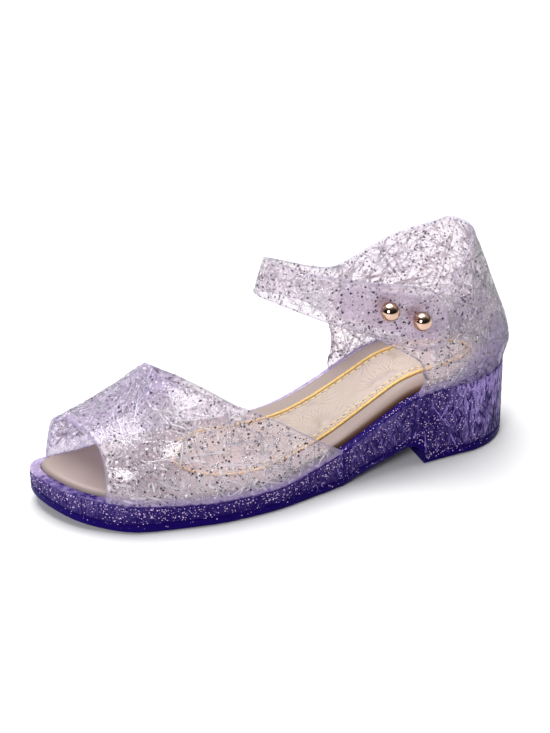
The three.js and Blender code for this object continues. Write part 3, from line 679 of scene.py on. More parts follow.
def sole_fade(points, settings):
    """How much of the sole's violet shows in the upper: 1 at the sole, falling as a power of the share
    that is left of a height, which is greatest at the back of the heel and least along the inner side."""
    x, y, z = np.moveaxis(points, -1, 0)
    seen = np.maximum(smooth(y, -8, 4), 1 - smooth(x, 4, 24))  # 0 along the inner side
    height = lerp(settings.back_fade, settings.side_fade, smooth(x, 8, 38)) * lerp(.25, 1, seen)
    over = z - sole_top(x) - lerp(-.6, 1.6, seen)
    low = np.clip(1 - over / height, 0, 1) ** 1.15 * lerp(.85, 1, smooth(x, 12, 40))
    top_of_toe = (smooth(x, 114, 134) - .4 * smooth(x, 140, 156)) * (1 - smooth(y, 0, 16))
    return np.maximum(low, settings.toe_cast * top_of_toe)


def stud_zone(points):
    """1 on the smooth part of the strap round the studs, 0 outside: all within a distance of a line that
    runs through both studs and a little past them."""
    rear, front = (ankle_layer(np.array([around]), np.array([HEEL_LIFT + up * COUNTER_HEIGHT]))[0]
                   for around, up in (STUDS["stud_rear"], STUDS["stud_front"]))
    way = unit(front - rear)
    start, length = rear - way * SMOOTH_START, np.linalg.norm(front - rear) + SMOOTH_EXTRA
    passed = np.clip((points - start) @ way, 0, length)
    distance = np.linalg.norm(points - start - passed[..., None] * way, axis=-1)
    return 1 - smooth(distance, SMOOTH_RADIUS, SMOOTH_END)


def wall_piece(name, surface, ends, columns, rows, finish, settings):
    """A wall: two sheets a wall's thickness apart that meet in a round edge, the outer one sunk a little
    between its edge beads, where the raised strands lie."""
    u, v, thickness, inward = wall_grid(surface, ends, columns, rows)
    skin = surface(u, v)
    normal = normal_of(surface, u, v)
    middle = skin - normal * WALL / 2
    half = (WALL / 2 * thickness)[..., None]
    sunk = (settings.strand_height * smooth(inward, BEAD_FROM, BEAD_TO))[..., None]
    outer, inner = middle + normal * (half - sunk), middle - normal * half
    front = np.arange(u.size).reshape(u.shape)
    back = front.copy()
    back[1:-1, 1:-1] = u.size + np.arange(front[1:-1, 1:-1].size).reshape(front[1:-1, 1:-1].shape)
    points = np.concatenate([outer.reshape(-1, 3), inner[1:-1, 1:-1].reshape(-1, 3)])
    inward = np.concatenate([inward.ravel(), inward[1:-1, 1:-1].ravel()])
    return piece(name, points, np.concatenate([sheet_quads(front), sheet_quads(back)[:, ::-1]]),
                 finish=finish, slot="upper_jelly", replaces=["upper"], values={
                     "sole_fade": sole_fade(points, settings),
                     "outer_face": (np.arange(len(points)) < u.size) * 1.0,
                     "edge_line": 1 - smooth(inward, EDGE_LINE_FROM, EDGE_LINE_TO),
                     "stud_zone": stud_zone(points)})


# Strands and flakes
def collar_allowed(around, height):
    """Where strands lie on the collar: away from its edges, the tab and the smooth part of the strap."""
    low, top = collar_edges(around)
    fits = (height > low + 1.2) & (height < top - 1.3) & (around > .245) & (around < 1.27)
    return fits & (stud_zone(ankle_layer(around, height)) < .4)


def vamp_allowed(turn, share):
    """Where strands lie on the vamp: away from its throat, lip and base."""
    length = np.interp(turn, VAMP_EDGES[:, 0], (VAMP_EDGES[:, 1] - VAMP_EDGES[:, 2]) * SANDAL_LENGTH)
    margin = STRAND_SPACE / length
    return (share > margin) & (share < 1 - margin) & (turn > .015) & (turn < .985)


def side_allowed(angle, share):
    """Where strands lie on the sole's side: over the foot band, from the heel to the shank."""
    return (share > .05) & (share < .95) & (SOLE_LOOP.at(angle)[0] < 92)


def whole_share(u):
    """The least and the greatest share on the vamp and on the sole's side."""
    return .001, .999


def drawn_cells(area, count, rng):
    """Cells of a grid drawn at random by their share of the area."""
    cell = rng.choice(area.size, count, p=(area / area.sum()).ravel())
    return np.divmod(cell, area.shape[1])


def scatter(surface, ends, count, rng, grid=(240, 60)):
    """Random places on a surface, as likely anywhere by area: a cell is drawn by its share of the area,
    and the place in it is even."""
    u, v = np.linspace(*ends, grid[0]), np.linspace(0, 1, grid[1])
    points = surface(u[:, None], v[None, :])
    side_u, side_v = np.diff(points, axis=0)[:, :-1], np.diff(points, axis=1)[:-1]
    i, j = drawn_cells(np.linalg.norm(np.cross(side_u, side_v), axis=-1), count, rng)
    return (u[i] + (u[1] - u[0]) * rng.random(count)), (v[j] + (v[1] - v[0]) * rng.random(count))


def walk(surface, u, v, heading, step, steps, allowed, limits):
    """Straight paths over a surface: each step moves by the heading in the tangent plane, whose shares
    along the two slopes solve a two by two system, and the heading is then laid into the new tangent
    plane. Returns the path's points and normals, and how many steps stayed on allowed ground."""
    points, normals = [], []
    reached, going = np.zeros(len(u)), np.ones(len(u), bool)
    for _ in range(steps + 1):
        p, n, du, dv = frame_of(surface, u, v)
        points.append(p)
        normals.append(n)
        heading = unit(heading - (heading * n).sum(-1, keepdims=True) * n)
        a, b, c = (du * du).sum(-1), (du * dv).sum(-1), (dv * dv).sum(-1)
        p1, p2 = (heading * du).sum(-1), (heading * dv).sum(-1)
        det = np.maximum(a * c - b * b, 1e-9)
        u = u + step * (p1 * c - p2 * b) / det
        v = np.clip(v + step * (p2 * a - p1 * b) / det, *limits(u))
        going &= allowed(u, v)
        reached += going
    return np.stack(points, 1), np.stack(normals, 1), reached


def strand_mesh(surface, start, allowed, limits, settings, rng, steepness, size, sink):
    """Raised strands: each is a half-round rib carried along a straight path on the surface, thinning to
    its ends. Its section is a flattened half circle of the strand's width and height, with a flat base
    sunk in the wall. steepness narrows the headings towards the surface's second direction, size scales
    length and width, and sink is how deep the wall's skin lies under the surface. Returns points, faces,
    end caps and each point's own number."""
    tries, steps = 8, 3  # of each half: to find how far it may go, and to build it
    fits = allowed(*start)
    u, v = start[0][fits], start[1][fits]
    count = len(u)
    _, normal, du, dv = frame_of(surface, u, v)
    second = unit(dv)
    first = np.cross(second, normal)
    angle = (rng.random(count) - .5) * np.pi * (1 - steepness)
    heading = second * np.cos(angle)[:, None] + first * np.sin(angle)[:, None]
    length = settings.strand_length * size
    longest = rng.gamma(2.2, length / 4.4, count).clip(SHORTEST_STRAND, length * 1.6)
    width = settings.strand_width * size / 2 * rng.uniform(.6, 1.4, count)
    height = np.minimum(settings.strand_height * rng.uniform(.6, 1.0, count), sink + .05)
    halves = []
    for way in (1, -1):
        _, _, reached = walk(surface, u, v, heading * way, longest / tries, tries, allowed, limits)
        step = longest * reached / tries / steps
        halves.append(walk(surface, u, v, heading * way, step, steps, allowed, limits)[:2])
    points, normals = (np.concatenate([back[:, :0:-1], ahead], 1) for ahead, back in zip(*halves))
    kept = np.linalg.norm(points[:, -1] - points[:, 0], axis=-1) > SHORTEST_STRAND
    points, normals, width, height = points[kept], normals[kept], width[kept], height[kept]
    total, rings = points.shape[:2]
    side = np.cross(normals, unit(np.gradient(points, axis=1)))
    across = np.array([1, .82, 0, -.82, -1])
    up = np.array([0, .82, 1, .82, 0])
    narrowed, lowered = np.ones((2, rings))
    narrowed[[0, -1]], lowered[[0, -1]] = .3, .12
    reach = (width[:, None] * narrowed)[..., None, None]
    lift = -sink - .1 + (height[:, None] + .1)[..., None] * lowered[None, :, None] * up
    section = points[:, :, None, :] + side[:, :, None, :] * reach * across[:, None] + (
        normals[:, :, None, :] * lift[..., None])
    sides = len(across)
    first_corner = (np.arange(total) * rings * sides)[:, None, None]
    faces = first_corner + strip_quads(rings, sides)[None]
    fan = np.array([[0, 1, 2], [0, 2, 3], [0, 3, 4]])
    last_fan = (rings - 1) * sides + fan[:, ::-1]
    caps = np.concatenate([first_corner + fan[None], first_corner + last_fan[None]])
    tone = np.repeat(rng.random(total), rings * sides)
    return section.reshape(-1, 3), faces.reshape(-1, 4), caps.reshape(-1, 3), tone


def flake_mesh(centres, normals, radius, tilt, rng, thickness=.18):
    """Glitter flakes: flat six-sided plates with a low point on each face, turned at random about the
    surface's normal and tipped from it by a random angle."""
    count = len(centres)
    helper = np.where(np.abs(normals[:, 2:3]) < .8, [[0, 0, 1.0]], [[1.0, 0, 0]])
    first = unit(np.cross(normals, helper))
    second = np.cross(normals, first)
    turn, tip, spin = rng.random((3, count)) * 2 * np.pi
    tip = tilt * (tip / (2 * np.pi)) ** .7
    lean = first * np.cos(turn)[:, None] + second * np.sin(turn)[:, None]
    axis = normals * np.cos(tip)[:, None] + lean * np.sin(tip)[:, None]
    a = unit(np.cross(axis, lean + 1e-3 * normals))
    b = np.cross(axis, a)
    corner = spin[:, None] + np.arange(6) * np.pi / 3
    r = radius[:, None, None]
    around = a[:, None] * np.cos(corner)[..., None] + b[:, None] * np.sin(corner)[..., None]
    rim = centres[:, None] + r * around
    tips = centres[:, None] + r * thickness * axis[:, None] * np.array([[1.0], [-1.0]])
    points = np.concatenate([rim, tips], 1)
    k = np.arange(6)
    top = np.stack([k, (k + 1) % 6, np.full(6, 6)], -1)
    bottom = np.stack([(k + 1) % 6, k, np.full(6, 7)], -1)
    faces = (np.arange(count) * 8)[:, None, None] + np.concatenate([top, bottom])[None]
    return points.reshape(-1, 3), faces.reshape(-1, 3)


def side_places(relief, count, rng):
    """Random places and normals on the sole's side. They are as likely anywhere by area, times the table
    of the side's glitter, and in the fore part there are more of them towards the top."""
    rows = sole_rows(relief)[0][len(FLOOR_EDGE):-len(TOP_EDGE)]
    side_a, side_b = np.diff(rows, axis=1)[:-1], np.diff(rows, axis=0)[:, :-1]
    area, x = np.linalg.norm(np.cross(side_a, side_b), axis=-1), rows[:-1, :-1, 0]
    area = area * np.interp(x, *zip(*SIDE_GLITTER))
    area = area * lerp(1, np.linspace(.3, 2.5, len(area))[:, None], smooth(x, 60, 100))
    i, j = drawn_cells(area, count, rng)
    share = rng.random((count, 2))
    places = rows[i, j] + side_a[i, j] * share[:, :1] + side_b[i, j] * share[:, 1:]
    normals = unit(np.cross(side_b[i, j], side_a[i, j]))
    return places + normals * .02, normals


def rim_places(rng):
    """Random places and normals on top of the rim, along the open shank."""
    angle = rng.uniform(0, 2 * np.pi, RIM_GLITTER_TRIES)
    x, y = SOLE_LOOP.at(angle, -rng.uniform(.9, 3.6, len(angle)))
    near = (x > RIM_GLITTER[0]) & (x < RIM_GLITTER[1]) & (y > 0)
    places = np.stack([x, y, sole_top(x) + RIM_GLITTER_LIFT], -1)[near]
    return places, np.tile([0.0, 0.0, 1.0], (len(places), 1))


def glitter_piece(name, centres, normals, radius, tilt, rng, finish, slot):
    """A piece of flakes, each with a number of its own."""
    points, triangles = flake_mesh(centres, normals, radius, tilt, rng)
    number = np.repeat(rng.random(len(centres)), 8)
    piece(name, points, triangles=triangles, finish=finish, slot=slot, values={"flake": number}, sharp=5)


# Materials
class Nodes:
    """A small helper that fills the empty node tree of a material or a world."""

    def __init__(self, owner, output="OutputMaterial"):
        owner.use_nodes = True
        self.owner, self.tree = owner, owner.node_tree
        self.tree.nodes.clear()
        self.out = self.add(output)

    def put(self, value, socket):
        """Links a node or its socket to a socket, and sets any other value on it."""
        if isinstance(value, bpy.types.Node):
            value = value.outputs[0]
        if isinstance(value, bpy.types.NodeSocket):
            self.tree.links.new(value, socket)
        else:
            socket.default_value = value

    def add(self, kind, inputs=(), **settings):
        """A new node with its settings, and a value or a link for each input named."""
        node = self.tree.nodes.new("ShaderNode" + kind)
        for key, value in settings.items():
            setattr(node, key, value)
        for key, value in dict(inputs).items():
            self.put(value, node.inputs[key])
        return node

    def maths(self, operation, *values, clamp=False):
        """One step of arithmetic on values or sockets."""
        return self.add("Math", dict(enumerate(values)), operation=operation, use_clamp=clamp).outputs[0]

    def mix(self, share, a, b):
        """Colour a, or b where the share is 1."""
        return self.add("Mix", {0: share, 6: a, 7: b}, data_type="RGBA").outputs[2]

    def spread(self, value, low, high, to_low=0.0, to_high=1.0, form="LINEAR"):
        """A value between low and high, spread over the numbers from to_low to to_high."""
        inputs = {0: value, 1: low, 2: high, 3: to_low, 4: to_high}
        return self.add("MapRange", inputs, interpolation_type=form).outputs[0]

    def noise(self, vector, scale, detail, **inputs):
        """Soft noise from 0 to 1."""
        inputs = {"Vector": vector, "Scale": scale, "Detail": detail, **inputs}
        return self.add("TexNoise", inputs).outputs[0]

    def cells(self, vector, scale, **inputs):
        """A pattern of cells, each round its own middle."""
        return self.add("TexVoronoi", {"Vector": vector, "Scale": scale, **inputs}, feature="F1")

    def first_of(self, colour):
        """The first of a colour's three numbers."""
        return self.add("SeparateColor", {0: colour}).outputs[0]

    def attribute(self, name):
        """One of the numbers that a piece's points carry."""
        return self.add("Attribute", attribute_name=name).outputs["Fac"]

    def facing(self):
        """0 where the surface is seen face on, and 1 edge on."""
        return self.add("LayerWeight", {"Blend": .5}).outputs["Facing"]

    def place(self, scale=(1, 1, 1), turn=(0, 0, 0)):
        """The piece's own coordinates in millimetres times scale."""
        coordinates = self.add("TexCoord").outputs["Object"]
        size = [1000 * s for s in scale]
        return self.add("Mapping", {"Vector": coordinates, "Scale": size, "Rotation": turn}).outputs[0]

    def streaks(self, length, width, turns, keep):
        """Short straight streaks that cross, 1 on a streak and 0 beside it: for each turn, a cell pattern
        stretched along one direction, where a share of the cells show a thin bar at their middle."""
        total = None
        size = (1 / length, 1 / width, 1 / width)
        for turn in turns:
            place = self.add("Mapping", {"Vector": self.place(turn=turn), "Scale": size}).outputs[0]
            cells = self.cells(place, 1.0)
            bar = self.spread(cells.outputs["Distance"], .2, .32, 1, 0)
            shown = self.maths("LESS_THAN", self.first_of(cells.outputs["Color"]), keep)
            bar = self.maths("MULTIPLY", bar, shown)
            total = bar if total is None else self.maths("MAXIMUM", total, bar)
        return total

    def bump(self, height, strength, distance):
        """The shader's normal over a relief, whose distance is its depth in metres."""
        return self.add("Bump", {"Height": height, "Strength": strength, "Distance": distance}).outputs[0]

    def principled(self, colour, roughness, others=()):
        """The shader of an opaque finish, or of a clear one's milky skin."""
        inputs = {"Base Color": colour, "Roughness": roughness, **dict(others)}
        return self.add("BsdfPrincipled", inputs)

    def finish(self, shader):
        """Links the shader to the output, and gives the material back."""
        self.put(shader, self.out.inputs["Surface"])
        return self.owner


def new_material(name):
    """The nodes of a new material."""
    return Nodes(bpy.data.materials.new(name))


def rgb(colour):
    """A colour as the nodes take it, with a fourth number of 1."""
    return (*colour[:3], 1.0)


def clear_shader(n, share, tint, skin, gloss, bump=None):
    """Clear plastic: a share of the light meets the milky skin, and the rest passes tinted, but for what
    the surface throws back, which is least face on and grows with the fifth power edge on."""
    thrown = n.maths("MULTIPLY_ADD", n.maths("POWER", n.facing(), 5.0), .9, gloss)
    shine = n.add("BsdfGlossy", {"Roughness": .1} if bump is None else {"Roughness": .1, "Normal": bump})
    clear = n.add("MixShader", {0: thrown, 1: n.add("BsdfTransparent", {"Color": tint}), 2: shine})
    return n.add("MixShader", {0: share, 1: clear, 2: skin})


def uneven(n, fade, pattern):
    """The fade pushed up and down by a pattern, most where it is half and not at all at 0 and 1."""
    slack = n.maths("MULTIPLY", fade, n.maths("SUBTRACT", 1, fade))
    push = n.maths("MULTIPLY", slack, n.maths("MULTIPLY_ADD", pattern, 2.6, -1.3))
    return n.maths("ADD", fade, push, clamp=True)


# Turns of the painted highlight streaks on the outer face and of the dark streaks on the inner face of the
# clear wall, about the three axes
HIGHLIGHT_TURNS = ((.3, .2, .4), (1.2, -.6, 1.5), (-.5, .9, 2.6), (.8, .3, -.9))
DARK_TURNS = ((.1, .7, .9), (-.9, .2, 2.0), (1.4, .5, -.4), (.6, -1.1, -1.7))


def jelly_material(settings):
    """Clear moulded jelly: light passes tinted, and a glossy milky skin sends a share of it back. Pale streaks
    of painted highlight cross the outer face, thin dark ones the inner face, small facets change its tint, the
    edges are greyer, and near the sole it turns violet and thick. Round the studs it is smooth and milkier."""
    n = new_material("clear_jelly")
    outer, smooth_part, edge = (n.attribute(name) for name in ("outer_face", "stud_zone", "edge_line"))
    rough = n.maths("SUBTRACT", 1, smooth_part)
    # pale streaks on the outer face: painted highlights, as light glinting on raised ribs
    painted_highlight = n.streaks(length=11.0, width=1.8, turns=HIGHLIGHT_TURNS, keep=.34)
    painted_highlight = n.maths("MULTIPLY", n.maths("MULTIPLY", painted_highlight, outer), rough)
    dark = n.streaks(length=8.0, width=.7, turns=DARK_TURNS, keep=.34)
    dark = n.maths("MULTIPLY", n.maths("MULTIPLY", dark, n.maths("SUBTRACT", 1, outer)), rough)
    facet = n.maths("MULTIPLY", n.first_of(n.cells(n.place(), .22).outputs["Color"]), rough)
    cloud = n.spread(n.noise(n.place(), .5, 3), .3, .7)
    fade = uneven(n, n.attribute("sole_fade"), cloud)

    tint = n.mix(n.maths("MULTIPLY", facet, .9), rgb(settings.clear_tint), rgb(settings.cloud_tint))
    tint = n.mix(n.maths("MULTIPLY", dark, .5), tint, rgb(settings.strand_edge))
    tint = n.mix(fade, tint, rgb(settings.violet_tint))

    facing = n.facing()
    body = n.mix(smooth_part, rgb(settings.milk_colour), rgb(settings.smooth_colour))
    body = n.mix(n.maths("MULTIPLY", painted_highlight, .9), body, rgb(settings.painted_highlight_colour))
    body = n.mix(edge, body, rgb(settings.edge_colour))
    body = n.mix(n.maths("POWER", fade, .5), body, rgb(settings.lavender_body))
    body = n.mix(n.maths("POWER", fade, 2.5), body, rgb(settings.violet_body))
    grey = n.maths("MULTIPLY", n.maths("POWER", facing, 5.0), n.maths("SUBTRACT", 1, fade))
    body = n.mix(grey, body, rgb(settings.edge_colour))
    bump = n.bump(n.noise(n.place(), .35, 1), .5, .0006)
    skin = n.principled(body, .25, {"Specular IOR Level": .05, "Normal": bump})

    share = n.maths("MULTIPLY_ADD", n.maths("POWER", facing, 3.0), .4, settings.milk)
    for part, more in ((painted_highlight, .34), (smooth_part, .16), (edge, .22)):
        share = n.maths("MULTIPLY_ADD", part, more, share)
    share = n.maths("MULTIPLY_ADD", fade, .95, share, clamp=True)
    return n.finish(clear_shader(n, share, tint, skin, .05, bump))


def strand_material(settings):
    """A strand of jelly: clear along its crest, where it throws the light back, and dark where it is seen edge
    on. By each strand's own number a few are milky white, a painted glint that stands in for highlights of the
    light on them."""
    n = new_material("strand_jelly")
    fade = n.attribute("sole_fade")
    edge = n.spread(n.facing(), .35, .8)
    # a few strands milky white: painted glints standing in for highlights
    glint_share = n.spread(n.attribute("tone"), .6, 1.0)
    body = n.mix(n.maths("POWER", fade, .5), rgb(settings.strand_colour), rgb(settings.lavender_body))
    body = n.mix(n.maths("POWER", fade, 2.5), body, rgb(settings.violet_body))
    rim = n.mix(fade, rgb(settings.strand_edge), rgb(settings.violet_body))
    skin = n.principled(n.mix(edge, body, rim), .2, {"Specular IOR Level": .3})
    tint = n.mix(edge, rgb(settings.clear_tint), rgb(settings.edge_colour))
    share = n.maths("MULTIPLY_ADD", edge, .6, n.maths("MULTIPLY_ADD", glint_share, .25, .08))
    share = n.maths("MULTIPLY_ADD", fade, .6, share, clamp=True)
    return n.finish(clear_shader(n, share, tint, skin, .08))


def sole_material(settings):
    """Deep violet jelly: streaks lighten it where the side is textured, partly by their own tone and partly by
    painted light that is strongest at the heel's back, and the foot band is darker.
    """
    n = new_material("violet_sole")
    # the streaks' lightness along the side is partly painted light, strongest at the back of the heel
    painted_light_zone = n.attribute("painted_light_zone")
    fine = n.spread(n.noise(n.place((1, 1, .22)), 1.5, 4, Roughness=.65), .42, .66)
    cloud = n.spread(n.noise(n.place((1, 1, .5)), .3, 3, Roughness=.6), .3, .7)
    cloudy = n.maths("MULTIPLY", fine, n.maths("MULTIPLY_ADD", cloud, .8, .2))
    light = n.maths("MULTIPLY", cloudy, painted_light_zone)
    streak = n.maths("MULTIPLY", n.attribute("streak"), painted_light_zone)
    light = n.maths("MULTIPLY_ADD", streak, .4, light, clamp=True)
    colour = n.mix(light, rgb(settings.deep), rgb(settings.light))
    colour = n.mix(n.attribute("foot_band"), colour, rgb(settings.band))
    bump = n.bump(fine, .3, .0002)
    return n.finish(n.principled(colour, .3, {"Normal": bump, "Specular IOR Level": .03}))


def violet_strand_material(settings):
    """A strand on the sole's side: deep violet, and by each strand's own number a few are lighter."""
    n = new_material("violet_strand")
    lighter = n.spread(n.attribute("tone"), .55, .95)
    colour = n.mix(lighter, rgb(settings.deep), rgb(settings.strand))
    return n.finish(n.principled(colour, .3, {"Specular IOR Level": .06}))


def foil_material(name, dark, bright, bright_from):
    """Glitter foil: by each flake's own number, the first are dark against the light, the rest bright."""
    n = new_material(name)
    chosen = n.spread(n.attribute("flake"), bright_from, bright_from + .02)
    colour = n.mix(chosen, rgb(dark), rgb(bright))
    return n.finish(n.principled(colour, .4, {"Specular IOR Level": .15}))


def skin_material(settings):
    """Soft synthetic skin: fine cell pores, a slow change of tone, and painted shade that darkens the foot of
    the side.
    """
    n = new_material("footbed_skin_soft")
    tone = n.spread(n.noise(n.place(), .06, 2), .3, .7, 0, .6)
    colour = n.mix(tone, rgb(settings.skin), rgb(settings.skin_shade))
    # painted shade darkening the foot of the pad's side
    colour = n.mix(n.attribute("painted_side_shade"), colour, rgb(settings.skin_painted_shade))
    bump = n.bump(n.cells(n.place(), 2.2).outputs["Distance"], .12, .0001)
    return n.finish(n.principled(
        colour, .5, {"Normal": bump, "Sheen Weight": .15, "Sheen Roughness": .4}))


def print_material(settings):
    """Cream skin printed with fans of leaves: fine lines of an even width run out from the middle of each
    cell of a large pattern, at even angles, bent by noise and thinned out here and there."""
    rays = 12.0
    n = new_material("printed_panel")
    place = n.place((1, 1, 0))
    middle = n.cells(place, .1, Randomness=.9).outputs["Position"]
    local = n.add("VectorMath", {0: place, 1: middle}, operation="SUBTRACT").outputs[0]
    parts = n.add("SeparateXYZ", {0: local})
    far = n.add("VectorMath", {0: local}, operation="LENGTH").outputs["Value"]
    angle = n.maths("ARCTAN2", parts.outputs[1], parts.outputs[0])
    bent = n.maths("MULTIPLY_ADD", n.noise(place, .16, 2), .5, angle)
    swing = n.maths("ABSOLUTE", n.maths("SINE", n.maths("MULTIPLY", bent, rays)))
    beside = n.maths("MULTIPLY", swing, n.maths("MULTIPLY", far, 1 / rays))
    line = n.maths("MULTIPLY", n.spread(beside, .12, .3, 1, 0), n.spread(far, .8, 2.2))
    line = n.maths("MULTIPLY", line, n.spread(n.noise(place, .3, 2), .35, .6, .25, 1))
    tone = n.spread(n.noise(place, .1, 1), .4, .6)
    ink = n.mix(tone, rgb(settings.print_line), rgb(settings.print_second))
    colour = n.mix(n.maths("MULTIPLY", line, .65), rgb(settings.panel), ink)
    bump = n.bump(n.cells(n.place(), 2.5).outputs["Distance"], .1, .0001)
    return n.finish(n.principled(colour, .5, {"Normal": bump, "Specular IOR Level": .3}))


def handled_material(name, colour, roughness, metallic, change, scale):
    """A finish whose tone and roughness change a little from place to place, as handled material does.
    change is how much darker it gets, and scale is the number of changes in a millimetre."""
    n = new_material(name)
    tone = n.noise(n.place(), scale, 3)
    dark = tuple(c * (1 - change) for c in colour[:3])
    mixed = n.mix(n.spread(tone, .35, .65), rgb(dark), rgb(colour))
    uneven_roughness = n.spread(tone, .3, .7, roughness * .85, roughness * 1.15)
    return n.finish(n.principled(mixed, uneven_roughness, {"Metallic": metallic}))


# Settings
def colour_property(name, description, default):
    return FloatVectorProperty(
        name=name, description=description, default=default, subtype="COLOR", size=3, min=0, max=1)


def share_property(name, description, default):
    return FloatProperty(
        name=name, description=description, default=default, min=0, max=1, subtype="FACTOR")


def size_property(name, description, default):
    return FloatProperty(name=name, description=description + " in millimetres", default=default)


def count_property(name, description, default):
    return IntProperty(name=name, description=description, default=default)


class JellySettings(bpy.types.PropertyGroup):
    clear_tint: colour_property(
        "Clear tint", "Light that one face of the clear wall lets through", (.985, .972, .985))
    cloud_tint: colour_property(
        "Cloud tint", "Light let through in the wall's darker facets", (.96, .925, .96))
    violet_tint: colour_property("Violet tint", "Light let through near the sole", (.46, .36, .86))
    milk_colour: colour_property("Milk", "Colour that the clear wall sends back", (.98, .86, .96))
    # colour of the painted highlight streaks on the wall's outer face
    smooth_colour: colour_property("Smooth part", "Colour of the smooth part round the studs", (.68, .56, .70))
    painted_highlight_colour: colour_property("Streaks", "Colour of the pale streaks in the wall", (1, .97, 1))
    lavender_body: colour_property("Lavender body", "Colour sent back a little above the sole", (.35, .25, .55))
    violet_body: colour_property("Violet body", "Colour sent back close to the sole", (.011, .003, .10))
    edge_colour: colour_property("Edge", "Colour of the wall seen edge on", (.44, .40, .50))
    strand_colour: colour_property("Strand", "Colour that the raised strands send back", (.95, .93, .98))
    strand_edge: colour_property("Strand edge", "Colour of a strand seen edge on", (.18, .165, .215))
    dark_foil: colour_property("Dark foil", "Colour of most of the glitter", (.02, .015, .035))
    bright_foil: colour_property("Bright foil", "Colour of the bright flakes", (.88, .86, .95))
    milk: share_property("Milkiness", "Share of the light that one face sends back", .15)
    toe_cast: share_property("Toe cast", "Share of violet in the top of the toe", .18)
    back_fade: size_property("Back fade", "Height over which violet fades at the heel's back", 25)
    side_fade: size_property("Side fade", "Height over which violet fades along the sides", 4.5)
    vamp_strands: count_property("Vamp strands", "Raised strands tried on the vamp", 700)
    collar_strands: count_property("Collar strands", "Raised strands tried on the counter and strap", 1000)
    strand_length: size_property("Strand length", "Usual length", 9)
    strand_width: size_property("Strand width", "Usual width", .8)
    strand_height: size_property("Strand height", "Height over the wall", .3)
    vamp_flakes: count_property("Vamp flakes", "Glitter flakes in the vamp", 1600)
    collar_flakes: count_property("Collar flakes", "Glitter flakes in the counter and strap", 2500)
    flake_size: size_property("Flake size", "Usual radius of a flake", .34)


class SoleSettings(bpy.types.PropertyGroup):
    deep: colour_property("Deep violet", "Colour of the sole", (.008, .001, .085))
    # the lighter streaks also carry painted light where the side's table of painted light is high
    light: colour_property("Light streaks", "Colour of the sole's lighter streaks", (.36, .27, .62))
    band: colour_property("Foot band", "Colour of the smooth band along the floor", (.008, .001, .10))
    strand: colour_property("Strand", "Colour of the raised strands on the side", (.26, .18, .54))
    dark_foil: colour_property("Dark foil", "Colour of the darker half of the glitter", (.12, .06, .30))
    bright_foil: colour_property("Bright foil", "Colour of the bright flakes", (.80, .62, .88))
    strands: count_property("Strands", "Raised strands tried on the sole's side", 760)
    sparkles: count_property("Sparkles", "Glitter flakes on the sole's side", 4600)
    relief: size_property("Relief", "Height of the side's texture", .2)


class FootbedSettings(bpy.types.PropertyGroup):
    skin: colour_property("Skin", "Colour of the padded footbed", (.34, .262, .24))
    skin_shade: colour_property("Skin shade", "Its second tone", (.38, .30, .285))
    # colour of the painted shade at the foot of the pad's side
    skin_painted_shade: colour_property("Skin low", "Colour at the foot of its side", (.12, .055, .03))
    panel: colour_property("Panel", "Ground colour of the printed panel", (.55, .455, .395))
    print_line: colour_property("Print", "Colour of the printed lines", (.27, .22, .16))
    print_second: colour_property("Second print", "Second colour of the lines", (.36, .28, .30))
    gold: colour_property("Gold", "Colour of the piping", (.82, .54, .19))
    thread: colour_property("Thread", "Colour of the stitches", (.80, .62, .36))
    hole: colour_property("Needle holes", "Colour of the holes between stitches", (.22, .12, .05))
    stitch_pitch: size_property("Stitch pitch", "Length from one stitch to the next", 2.8)


class StudSettings(bpy.types.PropertyGroup):
    metal: colour_property("Metal", "Colour of the plated studs", (.66, .45, .35))
    segments: count_property("Segments", "Faces round a stud", 56)


class StudioSettings(bpy.types.PropertyGroup):
    floor: colour_property("Floor", "Colour of the floor", (.9, .9, .9))
    key_power: FloatProperty(
        name="Key light", description="Power of the light overhead", default=20, unit="POWER")
    fill_power: FloatProperty(
        name="Fill light", description="Power of the light beside the camera", default=10, unit="POWER")
    sky: FloatProperty(name="Sky", description="Strength of the light from all round", default=.95)
    dark_room: share_property("Dark room", "How much darker the room behind the camera is", .9)


SETTINGS = {
    "sandal_jelly": JellySettings, "sandal_sole": SoleSettings, "sandal_footbed": FootbedSettings,
    "sandal_studs": StudSettings, "sandal_studio": StudioSettings}


# Pieces
class SANDAL_OT_outsole(bpy.types.Operator):
    """Builds the violet outsole with its heel, its arch and its textured side"""
    bl_idname = "jelly_sandal.outsole"
    bl_label = "Build outsole"

    def execute(self, context):
        settings = context.scene.sandal_sole
        # light is the streaks' lightness along the side, which carries painted light
        rows, streak, light, foot = sole_rows(settings.relief)
        points, quads, triangles = stack(rows)
        piece("jelly_outsole", points, quads, triangles, finish=sole_material(settings), slot="sole_jelly",
              values={"streak": streak, "painted_light_zone": light, "foot_band": foot}, sharp=50,
              replaces=["outsole"])
        return {"FINISHED"}


class SANDAL_OT_upper(bpy.types.Operator):
    """Builds the clear walls of the vamp and of the counter, tab and strap, and the rim on the sole"""
    bl_idname = "jelly_sandal.upper"
    bl_label = "Build upper"

    def execute(self, context):
        settings = context.scene.sandal_jelly
        clear = jelly_material(settings)
        wall_piece("jelly_vamp", vamp, (0.0, 1.0), 150, 96, clear, settings)
        wall_piece("jelly_collar", collar, COLLAR_ENDS, 380, 70, clear, settings)
        points, quads = ring(rim_rows(loop_angles(520)))
        x, y, _ = points.T
        shank = smooth(y, -12, 6) * (smooth(x, 40, 48) - .12 * smooth(x, 84, 98))
        fade = np.maximum(sole_fade(points, settings), np.maximum(shank, .35))
        piece("jelly_rim", points, quads, finish=clear, slot="upper_jelly", sharp=60, replaces=["upper"],
              values={"sole_fade": fade, "outer_face": np.ones(len(points)),
                      "stud_zone": np.full(len(points), .3), "edge_line": np.zeros(len(points))})
        return {"FINISHED"}


